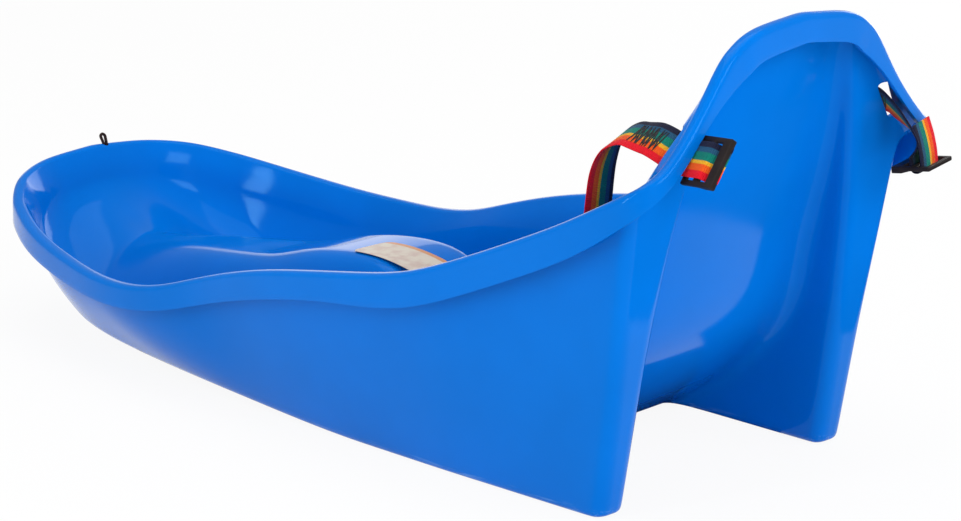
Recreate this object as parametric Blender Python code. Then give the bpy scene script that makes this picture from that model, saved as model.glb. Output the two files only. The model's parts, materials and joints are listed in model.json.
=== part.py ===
"""Moulded toddler pull sled: one thin shell on two hollow heels, a striped lap belt and a nose loop.

Metres, +Z up, X across the sled, the nose towards -Y.  The origin is on the ground under the
middle of the whole sled.  Lengths along Y are taken from the heel line, where the two heels
meet the ground, and every outline is drawn for the +X half and mirrored.
"""
import math

import bmesh
import bpy
from mathutils import Matrix, Vector

# Overall sizes, and the sizes at which the outlines below are drawn
WIDTH = 0.3268
LENGTH = 0.7615
HEIGHT = 0.3205
DRAWN_WIDTH = 0.3268
DRAWN_LENGTH = 0.7615
DRAWN_HEIGHT = 0.3205
GROWTH = {"x": WIDTH / DRAWN_WIDTH, "y": LENGTH / DRAWN_LENGTH, "z": HEIGHT / DRAWN_HEIGHT, "-": 1.0}


def stretched(axes, rows):
    """Drawn numbers taken to the overall sizes, each one along its own axis."""
    return [tuple(number * GROWTH[axis] for axis, number in zip(axes, row)) for row in rows]


# Placing
HEEL_LINE_Y = 0.2867 * GROWTH["y"]   # heel line, measured back from the origin

# Shell wall and rim
WALL = 0.003
RIM_ROUND = 0.0013              # radius under both corners of the rim
SHOULDER_DROP = 0.022           # where the wall starts to roll out to the rim
SHOULDER_IN = 0.004             # how far inboard of the rim's inside edge it is there
FLARE_PULL = 0.55               # share of the roll that keeps the wall's lean

# Sole and seat floor
SOLE_FILLET = 0.005
PANEL_FILLET = 0.009            # run of the floor into the backrest
BOW_FILLET = 0.007
RUNNER_STEP = 0.003             # floor between the runners, above their soles
RUNNER_INSET = 0.005            # the step starts this far inside the backrest's edge
RUNNER_RUN = 0.007
RUNNER_STEP_END = 0.330 * GROWTH["y"]   # ahead of the heel line, where the step starts to fade
RUNNER_STEP_FADE = 0.120 * GROWTH["y"]
ROCKER_START = 0.228 * GROWTH["y"]      # ahead of the heel line, where the soles start to lift
ROCKER_RUN = 0.300 * GROWTH["y"]
ROCKER_LIFT = 0.0135
ROCKER_POWER = 1.15

# Heels, which are the two hollow legs beside the backrest
HEEL_LEAN = 0.165               # rear face's lean, back per unit up
HEEL_FACE_Y = 0.0084            # rear face's sharp edge on the ground
HEEL_CORNER_RADIUS = 0.010
PANEL_CORNER_RADIUS = 0.012
SIDE_START = 0.130 * GROWTH["y"]     # ahead of the heel line, where heel wall becomes side wall
BACKREST_CROWN = 0.006
SIDE_CURVE = 1.15               # power of the walls' curve up from the sole
BOW_CURVE = 1.90
BOW_CURVE_RATE = 1.8            # how soon the bow's curve is reached

# Outlines of the heel walls at a height: (height, half-width or place)
BACKREST_EDGE_X = stretched("zx", [
    (0.000, 0.0955), (0.100, 0.0920), (0.190, 0.0825), (0.225, 0.0755), (0.255, 0.0660),
    (0.300, 0.0480)])
BACKREST_EDGE_Y = stretched("zy", [
    (0.003, -0.1240), (0.045, -0.0610), (0.100, -0.0150), (0.150, -0.0045), (0.200, 0.0140),
    (0.245, 0.0305), (0.290, 0.0440)])
HEEL_INNER_X = stretched("zx", [
    (0.000, 0.0945), (0.075, 0.0930), (0.150, 0.0885), (0.200, 0.0830), (0.245, 0.0745),
    (0.290, 0.0630)])
HEEL_OUTER_X = stretched("zx", [
    (0.000, 0.1218), (0.090, 0.1242), (0.150, 0.1288), (0.210, 0.1322), (0.290, 0.1360)])

# Inside edge of the rim, from the middle of the back to the nose: (x, y, z, skirt depth, reach of the
# skirt's outside beyond the inside edge)
RIM_BACK = stretched("xyz--", [
    (0.0000, 0.0585, 0.3205, 0.0185, 0.0115), (0.0440, 0.0585, 0.3155, 0.0195, 0.0115),
    (0.0680, 0.0575, 0.3030, 0.0195, 0.0115), (0.0965, 0.0570, 0.2670, 0.0092, 0.0105),
    (0.1185, 0.0565, 0.2425, 0.0092, 0.0105)])
RIM_CORNER = stretched("xyz--", [(0.1315, 0.0515, 0.2300, 0.0130, 0.0110)])
RIM_SIDE = stretched("xyz--", [
    (0.1365, 0.0380, 0.2200, 0.0185, 0.0115), (0.1390, 0.0080, 0.2030, 0.0225, 0.0115),
    (0.1440, -0.0950, 0.1576, 0.0225, 0.0115), (0.1465, -0.1290, 0.1440, 0.0220, 0.0115),
    (0.1470, -0.1610, 0.1370, 0.0220, 0.0115), (0.1485, -0.2265, 0.1264, 0.0210, 0.0115),
    (0.1480, -0.2865, 0.1154, 0.0200, 0.0115), (0.1455, -0.3465, 0.0984, 0.0190, 0.0115),
    (0.1505, -0.3915, 0.0834, 0.0180, 0.0115), (0.1520, -0.4385, 0.0774, 0.0175, 0.0115),
    (0.1415, -0.4985, 0.0804, 0.0180, 0.0115), (0.1255, -0.5675, 0.0890, 0.0185, 0.0110)])
RIM_BOW = stretched("xyz--", [(0.1080, -0.6080, 0.0980, 0.0190, 0.0100)])
RIM_NOSE = stretched("xyz--", [
    (0.0760, -0.6430, 0.1090, 0.0190, 0.0095), (0.0400, -0.6565, 0.1138, 0.0185, 0.0095),
    (0.0000, -0.6580, 0.1165, 0.0185, 0.0095)])

# Outer edge of the soles, from the heels to the middle of the bow: (x, y)
SOLE_SIDE = stretched("xy", [
    (0.125, -0.130), (0.125, -0.240), (0.121, -0.370), (0.114, -0.490), (0.105, -0.538)])
SOLE_BOW = stretched("xy", [(0.080, -0.565), (0.045, -0.588), (0.000, -0.598)])

# Ridge down the middle of the floor, between the two foot wells: (y, height of its underside)
RIDGE_LINE = stretched("yz", [
    (-0.150, 0.003), (-0.190, 0.006), (-0.225, 0.052), (-0.257, 0.092), (-0.300, 0.097),
    (-0.365, 0.090), (-0.409, 0.076), (-0.455, 0.069), (-0.514, 0.063), (-0.569, 0.055),
    (-0.600, 0.052)])
RIDGE_TOP_X = stretched("yx", [
    (-0.600, 0.024), (-0.450, 0.032), (-0.300, 0.038), (-0.190, 0.038)])
RIDGE_FOOT_X = stretched("yx", [
    (-0.600, 0.056), (-0.450, 0.060), (-0.300, 0.064), (-0.190, 0.066)])

# Lap belt and its slots in the rear faces of the heels
BELT_WIDTH = 0.025
BELT_THICKNESS = 0.0014
FIT = 0.0004                    # gap between pieces that touch
SLOT = stretched("xyz", [(0.1045, 0.0490, 0.2475)])[0]   # middle of the slot on the +X side
SLOT_TILT = math.radians(53)    # slot's long axis below level, going outwards
SLOT_SLACK = 0.007              # slot's length beyond the belt's width
SLOT_LENGTH = BELT_WIDTH + SLOT_SLACK
SLOT_WIDTH = 0.007
SLOT_CUT = 0.014                # half the depth of the cut through the wall

# Ladder clips that stop the belt behind the slots
CLIP_WINDOW = 0.0065            # both windows, along the belt
CLIP_THICKNESS = 0.003
CLIP_RAIL = 0.0035
CLIP_END_BAR = 0.0032
CLIP_MIDDLE_BAR = 0.0046
CLIP_WIDE_BAR = 0.0067          # end bar on the far side from the belt's slot
CLIP_ROUND = 0.0006
CLIP_SLACK = 0.001              # window's clearance beside the belt
NEAR_CLIP_STEP = (-0.0025, 0.0270, -0.0065)   # from the slot
NEAR_CLIP_ALONG = (0.04, 1.00, 0.03)
NEAR_CLIP_ACROSS = (0.60, 0.00, -0.80)
NEAR_PAST = 0.0015              # belt stays flat this far past the clip's ends
NEAR_TAIL = 0.0010              # loose end behind the clip
NEAR_LEAD = 0.0040
FAR_CLIP_STEP = (0.0075, 0.0285, -0.0405)
FAR_CLIP_UP = (-0.14, -0.14, 1.00)
FAR_CLIP_ACROSS = (-0.97, -0.20, 0.04)
FAR_TAIL = 0.023                # belt end above the far clip
FAR_TAIL_LEAN = (0.0020, -0.0040, 0.0)
FAR_LOOP_RISE = (0.0060, 0.0070) # where the loop's two layers start to turn, above the clip

# Side-release buckle lying fastened on the seat, seen along X
BUCKLE_Y = -0.1450 * GROWTH["y"]
BUCKLE_HEIGHT = 0.010
BUCKLE_SIDE = 0.004             # buckle's side beyond the belt's edge
BUCKLE_WIDTH = BELT_WIDTH + 2 * BUCKLE_SIDE
BUCKLE_MOUTH_X = -0.011         # where the plug's shoulder meets the socket
SOCKET_LENGTH = 0.036
PLUG_BASE = 0.014
PLUG_ROOT = 0.003                # prongs start this far inside the plug's base
PRONG_LENGTH = 0.021
PRONG_HEIGHT = 0.005
PRONG_OUT = 0.0122              # outer face of a prong from the middle
PRONG_IN = 0.0084
GUIDE_WIDTH = 0.0060
GUIDE_LENGTH = 0.0170
PRONG_ROOM = (0.0030, 0.0007)   # cavity beyond the prongs: at their tips, at their sides
PRESS_WINDOW = (0.0070, 0.0185) # where the socket is open at its sides, from its mouth
BUCKLE_ROUND = 0.0018
PLUG_THINNER = 0.0005           # plug's base below and above the socket's faces
CUT_PAST = 0.001                # how far a cut runs past the face that it opens
BELT_BAR = 0.0035               # bars that the belt ends go round
BELT_BAR_HEIGHT = 0.005
BELT_WINDOW = 0.0036
BELT_SLACK = 0.0005             # window's clearance beside the belt
BELT_TURN = 0.0041              # radius of the belt's middle line round a bar
BELT_TAIL = 0.018               # sewn end below the belt
BELT_FALL = 0.0005              # belt's drop from the top of its turn, just before the bar

# Belt from the slot over the side of the seat and down to the buckle, on the +X side: the place of
# its middle line, then the direction across it towards its outer edge
SLOT_ROUTE = [                  # places as steps from the slot
    (-0.0017, 0.0010, -0.0010, 0.60, 0.00, -0.80), (-0.0031, -0.0180, 0.0030, 0.74, 0.00, -0.67),
    (-0.0048, -0.0340, 0.0030, 0.88, 0.00, -0.47)]
BELT_ROUTE = stretched("xyz---", [
    (0.0975, -0.0030, 0.2430, 0.93, 0.00, -0.37), (0.0962, -0.0150, 0.2220, 1.00, 0.00, -0.15),
    (0.0955, -0.0195, 0.1950, 1.00, 0.00, 0.00), (0.0940, -0.0250, 0.1600, 1.00, -0.05, 0.00),
    (0.0870, -0.0430, 0.1100, 0.95, -0.25, -0.10), (0.0740, -0.0740, 0.0620, 0.80, -0.50, -0.10),
    (0.0590, -0.1100, 0.0300, 0.45, -0.85, 0.05), (0.0490, -0.1360, 0.0165, 0.15, -0.98, 0.00)])

# From the far clip up to the slot, drawn on the +X side as steps from the slot
FAR_DROP = [
    (0.0048, 0.0248, -0.0262, 0.93, -0.38, -0.02), (0.0008, 0.0222, -0.0178, 0.85, -0.48, -0.10),
    (-0.0012, 0.0160, -0.0105, 0.72, -0.50, -0.40), (-0.0016, 0.0090, -0.0055, 0.66, -0.30, -0.68)]

# Wire eye at the nose
EYE_WIRE = 0.0020
EYE_HOLE = 0.0058
EYE_PLACE = stretched("xy", [(-0.0110, -0.6620)])[0]
EYE_HEIGHT = 0.0080             # above the rim
EYE_WIDTH = 0.0062
EYE_LEG = 0.0040                # below the rim's underside

# Mesh fineness of the shell
WALL_ROWS = (0.07, 0.17, 0.30, 0.46, 0.64, 0.82, 1.00)
FILLET_ROWS = 3
FLARE_ROWS = 2
PANEL_STATIONS = (0.0, 0.19, 0.36, 0.49, 0.61, 0.74)
SIDE_SEGMENTS = 13
RIM_SAMPLES = 12
BELT_SAMPLES = 4
TURN_STEPS = 8

# Colours and finish
BLUE = (0.0, 0.18, 0.72, 1.0)
BLACK = (0.02, 0.02, 0.022, 1.0)
WEBBING = (0.75, 0.20, 0.08, 1.0)


def smooth(stations, at):
    """Value at a place on a smooth curve through (place, value) stations, with no overshoot."""
    points = sorted(stations)
    if at <= points[0][0]:
        return points[0][1]
    if at >= points[-1][0]:
        return points[-1][1]
    slopes = [(b[1] - a[1]) / (b[0] - a[0]) for a, b in zip(points, points[1:])]
    tangents = [slopes[0]]
    for before, after in zip(slopes, slopes[1:]):
        tangents.append(0.0 if before * after <= 0 else 2 * before * after / (before + after))
    tangents.append(slopes[-1])
    i = max(k for k in range(len(points) - 1) if points[k][0] <= at)
    run = points[i + 1][0] - points[i][0]
    t = (at - points[i][0]) / run
    start = (1 + 2 * t) * (1 - t) ** 2
    end = t * t * (3 - 2 * t)
    lead = t * (1 - t) ** 2 * run
    trail = t * t * (t - 1) * run
    return start * points[i][1] + end * points[i + 1][1] + lead * tangents[i] + trail * tangents[i + 1]


def curve_through(points, samples):
    """Points along a smooth curve through the given ones, with the same count in each span."""
    path = []
    places = range(len(points))
    for i in range(len(points) - 1):
        for k in range(samples):
            at = i + k / samples
            path.append(Vector([smooth([(n, points[n][axis]) for n in places], at)
                                for axis in range(len(points[0]))]))
    path.append(Vector(points[-1]))
    return path


def spread(path, fractions):
    """Points at fractions of a path's length."""
    reach = [0.0]
    for a, b in zip(path, path[1:]):
        reach.append(reach[-1] + (b - a).length)
    found = []
    for fraction in fractions:
        want = fraction * reach[-1]
        i = max(k for k in range(len(path) - 1) if reach[k] <= want + 1e-12)
        span = reach[i + 1] - reach[i]
        found.append(path[i].lerp(path[i + 1], min(1.0, (want - reach[i]) / span)))
    return found


def even(count):
    """Fractions that cut a length into equal parts, without the first end."""
    return [(k + 1) / count for k in range(count)]


def ease(t):
    """Soft step from 0 to 1."""
    t = min(1.0, max(0.0, t))
    return t * t * (3 - 2 * t)


def turned(corner, before, after, radius, share):
    """Point at a share of the arc that rounds a corner in plan."""
    u = (corner - before).normalized()
    v = (after - corner).normalized()
    turn = math.acos(max(-1.0, min(1.0, u.dot(v))))
    reach = radius * math.tan(turn / 2)
    side = 1.0 if u.x * v.y - u.y * v.x > 0 else -1.0
    centre = corner - u * reach + Vector((-u.y, u.x)) * side * radius
    angle = side * turn * share
    arm = (corner - u * reach) - centre
    return centre + Vector((arm.x * math.cos(angle) - arm.y * math.sin(angle),
                            arm.x * math.sin(angle) + arm.y * math.cos(angle)))


def floor_height(x, y):
    """Underside of the floor and of the soles: rocker, step between the runners, middle ridge."""
    ahead = max(0.0, (-y - ROCKER_START) / ROCKER_RUN)
    sole = ROCKER_LIFT * ahead ** ROCKER_POWER
    fade = 1 - ease((-y - RUNNER_STEP_END) / RUNNER_STEP_FADE)
    edge = BACKREST_EDGE_X[0][1]
    step = RUNNER_STEP * fade * (1 - ease((abs(x) - edge + RUNNER_INSET) / RUNNER_RUN))
    base = sole + step
    ridge = smooth(RIDGE_LINE, y)
    top = smooth(RIDGE_TOP_X, y)
    foot = smooth(RIDGE_FOOT_X, y)
    share = 1 - ease((abs(x) - top) / (foot - top))
    return base + max(0.0, ridge - base) * share


def heel_plan(z):
    """Corners in plan of the backrest and heel walls at a height, from the middle outwards."""
    rear = HEEL_FACE_Y + HEEL_LEAN * z
    edge = Vector((smooth(BACKREST_EDGE_X, z), smooth(BACKREST_EDGE_Y, z)))
    inner = Vector((smooth(HEEL_INNER_X, z), rear))
    outer = Vector((smooth(HEEL_OUTER_X, z), rear))
    return edge, inner, outer


def side_x(z):
    """Half-width of the heel's outer wall where the side wall starts."""
    top = SIDE_HEAD.z
    t = min(1.0, z / top)
    return SOLE_SIDE[0][0] + (SIDE_HEAD.x - SOLE_SIDE[0][0]) * (1 - (1 - t) ** SIDE_CURVE)


def heel_point(station, z):
    """Place in plan of one upright line of the backrest or heel walls, at a height."""
    kind, share = station
    edge, inner, outer = heel_plan(z)
    middle = Vector((0.0, edge.y))
    front = Vector((side_x(z), -SIDE_START))
    gap = (inner - edge).length
    bend = min(PANEL_CORNER_RADIUS, 0.8 * gap)
    corner = min(HEEL_CORNER_RADIUS, 0.45 * gap, 0.45 * (outer - inner).length)
    if kind == "panel":
        spot = middle.lerp(edge, share)
    elif kind == "panel_corner":
        spot = turned(edge, middle, inner, bend, share)
    elif kind == "inner_wall":
        a = turned(edge, middle, inner, bend, 1.0)
        b = turned(inner, edge, outer, corner, 0.0)
        spot = a.lerp(b, share)
    elif kind == "inner_corner":
        spot = turned(inner, edge, outer, corner, share)
    elif kind == "rear_face":
        a = turned(inner, edge, outer, corner, 1.0)
        b = turned(outer, inner, front, corner, 0.0)
        spot = a.lerp(b, share)
    elif kind == "outer_corner":
        spot = turned(outer, inner, front, corner, share)
    else:
        a = turned(outer, inner, front, corner, 1.0)
        spot = a.lerp(front, share)
    if kind.startswith("panel"):
        spot.y += BACKREST_CROWN * (1 - min(1.0, spot.x / edge.x) ** 2)
    return spot


# Upright lines of the shell from the middle of the back round to where the side wall starts, each
# with the share of its part of the rim that it reaches
PANEL = [("panel", s) for s in PANEL_STATIONS] + [("panel_corner", 0.0), ("panel_corner", 0.5)]
INNER = [("panel_corner", 1.0), ("inner_wall", 0.33), ("inner_wall", 0.67), ("inner_corner", 0.0),
         ("inner_corner", 0.25), ("inner_corner", 0.5)]
REAR = [("inner_corner", 0.75), ("inner_corner", 1.0), ("rear_face", 0.25), ("rear_face", 0.5),
        ("rear_face", 0.75), ("outer_corner", 0.0), ("outer_corner", 0.25), ("outer_corner", 0.5)]
OUTER = [("outer_corner", 0.75), ("outer_corner", 1.0), ("outer_wall", 0.25), ("outer_wall", 0.50),
         ("outer_wall", 0.75), ("outer_wall", 1.0)]
PANEL_RIM = (0.19, 0.36, 0.52, 0.66, 0.79, 0.91, 1.0)
REAR_RIM = (0.07, 0.16, 0.34, 0.52, 0.70, 0.86, 0.93, 1.0)
OUTER_RIM = (0.04, 0.08, 0.30, 0.53, 0.76, 1.0)
PANEL_RIM_END = 0.055 * GROWTH["x"]  # half-width on the rim where the backrest ends
INNER_RIM_END = 0.068 * GROWTH["x"]  # half-width on the rim where the heel's inner wall ends


def build_rim():
    """Rim points at the upright lines, split where the walls below change."""
    path = curve_through(RIM_BACK + RIM_CORNER + RIM_SIDE + RIM_BOW + RIM_NOSE, RIM_SAMPLES)
    corner = len(RIM_BACK) * RIM_SAMPLES
    bow = (len(RIM_BACK) + 1 + len(RIM_SIDE)) * RIM_SAMPLES
    panel = next(i for i, p in enumerate(path) if p.x >= PANEL_RIM_END)
    inner = next(i for i, p in enumerate(path) if p.x >= INNER_RIM_END)
    side = next(i for i, p in enumerate(path) if p.y <= -SIDE_START)
    points = [path[0]]
    points += spread(path[:panel + 1], PANEL_RIM)
    points += spread(path[panel:inner + 1], even(len(INNER)))
    points += spread(path[inner:corner + 1], REAR_RIM)
    points += spread(path[corner:side + 1], OUTER_RIM)
    points += spread(path[side:bow + 1], even(SIDE_SEGMENTS))
    points += spread(path[bow:], even(len(PANEL) - 1 + len(REAR)))
    return points


RIM = build_rim()
COLUMNS = len(RIM)
HEEL_COLUMNS = len(PANEL) + len(INNER) + len(REAR) + len(OUTER)


def rim_frame(i):
    """Rim point, outward and upward directions, skirt depth and reach, at one upright line."""
    if i == 0:
        along = Vector((1, 0, 0))
    elif i == COLUMNS - 1:
        along = Vector((-1, 0, 0))
    else:
        along = (RIM[i + 1] - RIM[i - 1]).xyz.normalized()
    outward = Vector((-along.y, along.x, 0)).normalized()
    upward = along.cross(outward).normalized()
    if upward.z < 0:
        upward = -upward
    return RIM[i].xyz, outward, upward, RIM[i][3], RIM[i][4]


def head_point(i):
    """Where the wall of one upright line starts to roll out to the rim."""
    rim, outward = rim_frame(i)[:2]
    head = rim - outward * SHOULDER_IN
    head.z -= SHOULDER_DROP
    return head


SIDE_HEAD = head_point(HEEL_COLUMNS - 1)


def sole_points():
    """Sharp lower edge of the walls, from where the side wall starts to the middle of the bow."""
    side = curve_through([Vector((x, y)) for x, y in SOLE_SIDE + SOLE_BOW], RIM_SAMPLES)
    turn = (len(SOLE_SIDE) - 1) * RIM_SAMPLES
    bow = side[turn:]
    return spread(side[:turn + 1], even(SIDE_SEGMENTS)) + spread(bow, even(len(PANEL) - 1 + len(REAR)))


SOLE = [heel_point(s, 0.0) for s in PANEL + INNER + REAR + OUTER] + sole_points()


def inward(i):
    """Direction in plan from the sole's edge to the floor, at one upright line."""
    if i == 0:
        return Vector((0, -1))
    if i == COLUMNS - 1:
        return Vector((0, 1))
    along = (SOLE[i + 1] - SOLE[i - 1]).normalized()
    return Vector((along.y, -along.x))


def fillet_run(i):
    """How far the floor's rounding reaches in from the sole's sharp edge."""
    if i < len(PANEL):
        share = SOLE[i].x / SOLE[len(PANEL) - 1].x
        return SOLE_FILLET + (PANEL_FILLET - SOLE_FILLET) * (1 - share ** 4)
    if i < HEEL_COLUMNS + SIDE_SEGMENTS - 4:
        return SOLE_FILLET
    share = (i - HEEL_COLUMNS - SIDE_SEGMENTS + 4) / (COLUMNS - HEEL_COLUMNS - SIDE_SEGMENTS + 4)
    return SOLE_FILLET + (BOW_FILLET - SOLE_FILLET) * ease(2 * share)


def wall_point(i, t):
    """Point of one wall line at a share of the height from the floor to the rim's shoulder."""
    sole = SOLE[i]
    low = floor_height(sole.x, sole.y)
    head = head_point(i)
    z = low + (head.z - low) * t
    if i < HEEL_COLUMNS:
        station = (PANEL + INNER + REAR + OUTER)[i]
        spot = heel_point(station, z)
        return Vector((spot.x, spot.y, z))
    forward = (i - HEEL_COLUMNS) / (COLUMNS - 1 - HEEL_COLUMNS)
    power = SIDE_CURVE + (BOW_CURVE - SIDE_CURVE) * ease(BOW_CURVE_RATE * forward)
    spot = sole.lerp(head.xy, 1 - (1 - t) ** power)
    return Vector((spot.x, spot.y, z))


def bend(a, b, c, t):
    """Point on the curve from a to c that leaves towards b and arrives from it."""
    return a * (1 - t) ** 2 + b * 2 * t * (1 - t) + c * t * t


def upright_line(i):
    """All points of one upright line of the shell's outside, from the sole to the skirt's edge."""
    sole = SOLE[i]
    run = fillet_run(i)
    inset = sole + inward(i) * run
    low = Vector((inset.x, inset.y, floor_height(inset.x, inset.y)))
    sharp = Vector((sole.x, sole.y, floor_height(sole.x, sole.y)))
    rise = min(0.25, run / max(0.02, head_point(i).z - sharp.z))
    line = [bend(low, sharp, wall_point(i, rise), k / FILLET_ROWS) for k in range(FILLET_ROWS + 1)]
    line += [wall_point(i, rise + (1 - rise) * t) for t in WALL_ROWS]
    rim, outward, upward, drop, reach = rim_frame(i)
    head = line[-1]
    lean = (head - line[-2]).normalized()
    root = rim + outward * WALL - upward * (WALL + RIM_ROUND)
    pull = (root - head).length * FLARE_PULL
    line += [bend(head, head + lean * pull, root, (k + 1) / FLARE_ROWS) for k in range(FLARE_ROWS)]
    line.append(rim + outward * (WALL + 0.3 * RIM_ROUND) - upward * (WALL + 0.3 * RIM_ROUND))
    line.append(rim + outward * (WALL + RIM_ROUND) - upward * WALL)
    edge = reach - WALL
    line.append(rim + outward * (edge - RIM_ROUND) - upward * WALL)
    line.append(rim + outward * (edge - 0.3 * RIM_ROUND) - upward * (WALL + 0.3 * RIM_ROUND))
    line.append(rim + outward * edge - upward * (WALL + RIM_ROUND))
    line.append(rim + outward * edge - upward * drop)
    return line


def grid_patch(bm, across, along, place):
    """A grid of quads whose corner (i, j) lies at place(i, j)."""
    made = bmesh.ops.create_grid(bm, x_segments=across, y_segments=along, size=1.0)
    for vert in made["verts"]:
        i = round((vert.co.x + 1) / 2 * across)
        j = round((vert.co.y + 1) / 2 * along)
        vert.co = place(i, j)


def filled(bottom, top, left, right, i, j, across, along):
    """Point of a patch between four edge rows."""
    u = i / across
    v = j / along
    flat = bottom[i].lerp(top[i], v) + left[j].lerp(right[j], u)
    return flat - bottom[0].lerp(bottom[-1], u).lerp(top[0].lerp(top[-1], u), v)


def shell_half(bm):
    """Outside of the +X half of the shell: walls with rim, the heel's sole, and the floor."""
    lines = [upright_line(i) for i in range(COLUMNS)]
    rows = len(lines[0])
    grid_patch(bm, COLUMNS - 1, rows - 1, lambda i, j: lines[i][j])
    low = [line[0] for line in lines]
    p = len(PANEL) - 1
    q = p + len(INNER)
    r = q + len(REAR)
    s = r + len(OUTER)
    front = s + SIDE_SEGMENTS
    strip = len(REAR)

    def across_row(j):
        a = low[p]
        b = low[s]
        return a.lerp(b, j / strip)

    lead = [across_row(j) for j in range(strip + 1)]
    tail = low[q:r + 1]
    inner = low[p:q + 1]
    outer = list(reversed(low[r:s + 1]))

    def sole_spot(i, j):
        spot = filled(inner, outer, lead, tail, i, j, len(INNER), strip)
        return Vector((spot.x, spot.y, 0.0 if 0 < i and 0 < j < strip else spot.z))

    grid_patch(bm, len(INNER), strip, sole_spot)
    rear = low[:p + 1] + lead[1:]
    nose = list(reversed(low[front:]))
    middle = [Vector((0.0, low[0].y + (low[-1].y - low[0].y) * k / SIDE_SEGMENTS, 0.0))
              for k in range(SIDE_SEGMENTS + 1)]
    side = low[s:front + 1]

    def floor_spot(i, j):
        if j == 0:
            return rear[i]
        if j == SIDE_SEGMENTS:
            return nose[i]
        if i == len(rear) - 1:
            return side[j]
        spot = filled(rear, nose, middle, side, i, j, len(rear) - 1, SIDE_SEGMENTS)
        return Vector((spot.x, spot.y, floor_height(spot.x, spot.y)))

    grid_patch(bm, len(rear) - 1, SIDE_SEGMENTS, floor_spot)


def material(name, colour, roughness):
    """A plain finish with the colour and roughness of one piece."""
    finish = bpy.data.materials.new(name)
    finish.use_nodes = True
    shader = finish.node_tree.nodes["Principled BSDF"]
    shader.inputs["Base Color"].default_value = colour
    shader.inputs["Roughness"].default_value = roughness
    shader.inputs["Metallic"].default_value = 0.0
    return finish


def add_object(name, bm, finish=None, sharp=40):
    """Turn a bmesh into a named object with smooth sides."""
    mesh = bpy.data.meshes.new(name)
    bm.to_mesh(mesh)
    bm.free()
    mesh.shade_smooth()
    mesh.set_sharp_from_angle(angle=math.radians(sharp))
    thing = bpy.data.objects.new(name, mesh)
    bpy.context.scene.collection.objects.link(thing)
    if finish:
        mesh.materials.append(finish)
    return thing


def clear_scene():
    """Remove every object of the open file."""
    for thing in list(bpy.data.objects):
        bpy.data.objects.remove(thing, do_unlink=True)


def add_cutter(name, bm):
    """A body that only cuts another one."""
    cutter = add_object(name, bm)
    cutter.hide_render = True
    cutter.display_type = "WIRE"
    return cutter


def cut(thing, cutter):
    """Take the cutter's space out of an object."""
    modifier = thing.modifiers.new(cutter.name, "BOOLEAN")
    modifier.operation = "DIFFERENCE"
    modifier.solver = "EXACT"
    modifier.object = cutter


def box(bm, low, high):
    """Add a box between two corners."""
    low = Vector(low)
    high = Vector(high)
    made = bmesh.ops.create_cube(bm, size=1.0)
    bmesh.ops.scale(bm, verts=made["verts"], vec=high - low)
    bmesh.ops.translate(bm, verts=made["verts"], vec=(low + high) / 2)
    return made["verts"]


def slot_cutter(name, side):
    """Rounded bar along the belt's way through one slot."""
    bm = bmesh.new()
    box(bm, (-SLOT_LENGTH / 2, -SLOT_CUT, -SLOT_WIDTH / 2), (SLOT_LENGTH / 2, SLOT_CUT, SLOT_WIDTH / 2))
    corners = [e for e in bm.edges if abs(e.verts[0].co.y - e.verts[1].co.y) > SLOT_CUT]
    bmesh.ops.bevel(bm, geom=corners, offset=SLOT_WIDTH * 0.45, segments=3, profile=0.5,
                    affect="EDGES", material=-1)
    bmesh.ops.rotate(bm, verts=bm.verts, cent=(0, 0, 0), matrix=Matrix.Rotation(side * SLOT_TILT, 3, "Y"))
    bmesh.ops.translate(bm, verts=bm.verts, vec=(side * SLOT[0], SLOT[1] + HEEL_LINE_Y, SLOT[2]))
    return add_cutter(name, bm)


def sled_shell():
    """The whole moulded shell with its wall."""
    bm = bmesh.new()
    shell_half(bm)
    bmesh.ops.remove_doubles(bm, verts=bm.verts, dist=1e-5)
    bmesh.ops.recalc_face_normals(bm, faces=bm.faces)
    bmesh.ops.translate(bm, verts=bm.verts, vec=(0, HEEL_LINE_Y, 0))
    shell = add_object("sled_shell", bm, material("blue_polyethylene", BLUE, 0.25))
    mirror = shell.modifiers.new("both_halves", "MIRROR")
    mirror.use_axis = (True, False, False)
    mirror.merge_threshold = 0.00005
    wall = shell.modifiers.new("wall", "SOLIDIFY")
    wall.thickness = WALL
    wall.offset = 1
    wall.use_even_offset = True
    cut(shell, slot_cutter("slot_left", 1))
    cut(shell, slot_cutter("slot_right", -1))
    cut(shell, eye_cutter())
    return shell


def swept(bm, path, ring):
    """Closed bar whose rings of corners follow a path."""
    rings = [ring(k) for k in range(len(path))]
    count = len(rings[0])
    grid_patch(bm, count, len(path) - 1, lambda i, j: rings[j][i % count])
    bmesh.ops.remove_doubles(bm, verts=bm.verts, dist=1e-6)
    ends = [e for e in bm.edges if e.is_boundary]
    bmesh.ops.holes_fill(bm, edges=ends, sides=count)
    bmesh.ops.recalc_face_normals(bm, faces=bm.faces)


def belt_strip(name, path, finish):
    """Flat webbing along a path of six numbers a point: its middle, then the way across it."""
    def ring(k):
        here = Vector(path[k][:3])
        along = (Vector(path[min(k + 1, len(path) - 1)][:3]) - Vector(path[max(k - 1, 0)][:3])).normalized()
        across = Vector(path[k][3:])
        across = (across - along * across.dot(along)).normalized() * (BELT_WIDTH / 2)
        thick = along.cross(across).normalized() * (BELT_THICKNESS / 2)
        return [here - across - thick, here + across - thick, here + across + thick, here - across + thick]
    bm = bmesh.new()
    swept(bm, path, ring)
    bmesh.ops.translate(bm, verts=bm.verts, vec=(0, HEEL_LINE_Y, 0))
    return add_object(name, bm, finish, 60)


def beside_slot(step):
    """Place that lies a step away from the slot, drawn on the +X side."""
    return Vector(SLOT) + Vector(step)


def from_slot(rows):
    """Belt points given as steps from the slot."""
    return [tuple(beside_slot(row[:3])) + row[3:] for row in rows]


def near_frame():
    """Frame of the clip on the +X side."""
    return clip_frame(beside_slot(NEAR_CLIP_STEP), NEAR_CLIP_ALONG, NEAR_CLIP_ACROSS)


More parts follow.
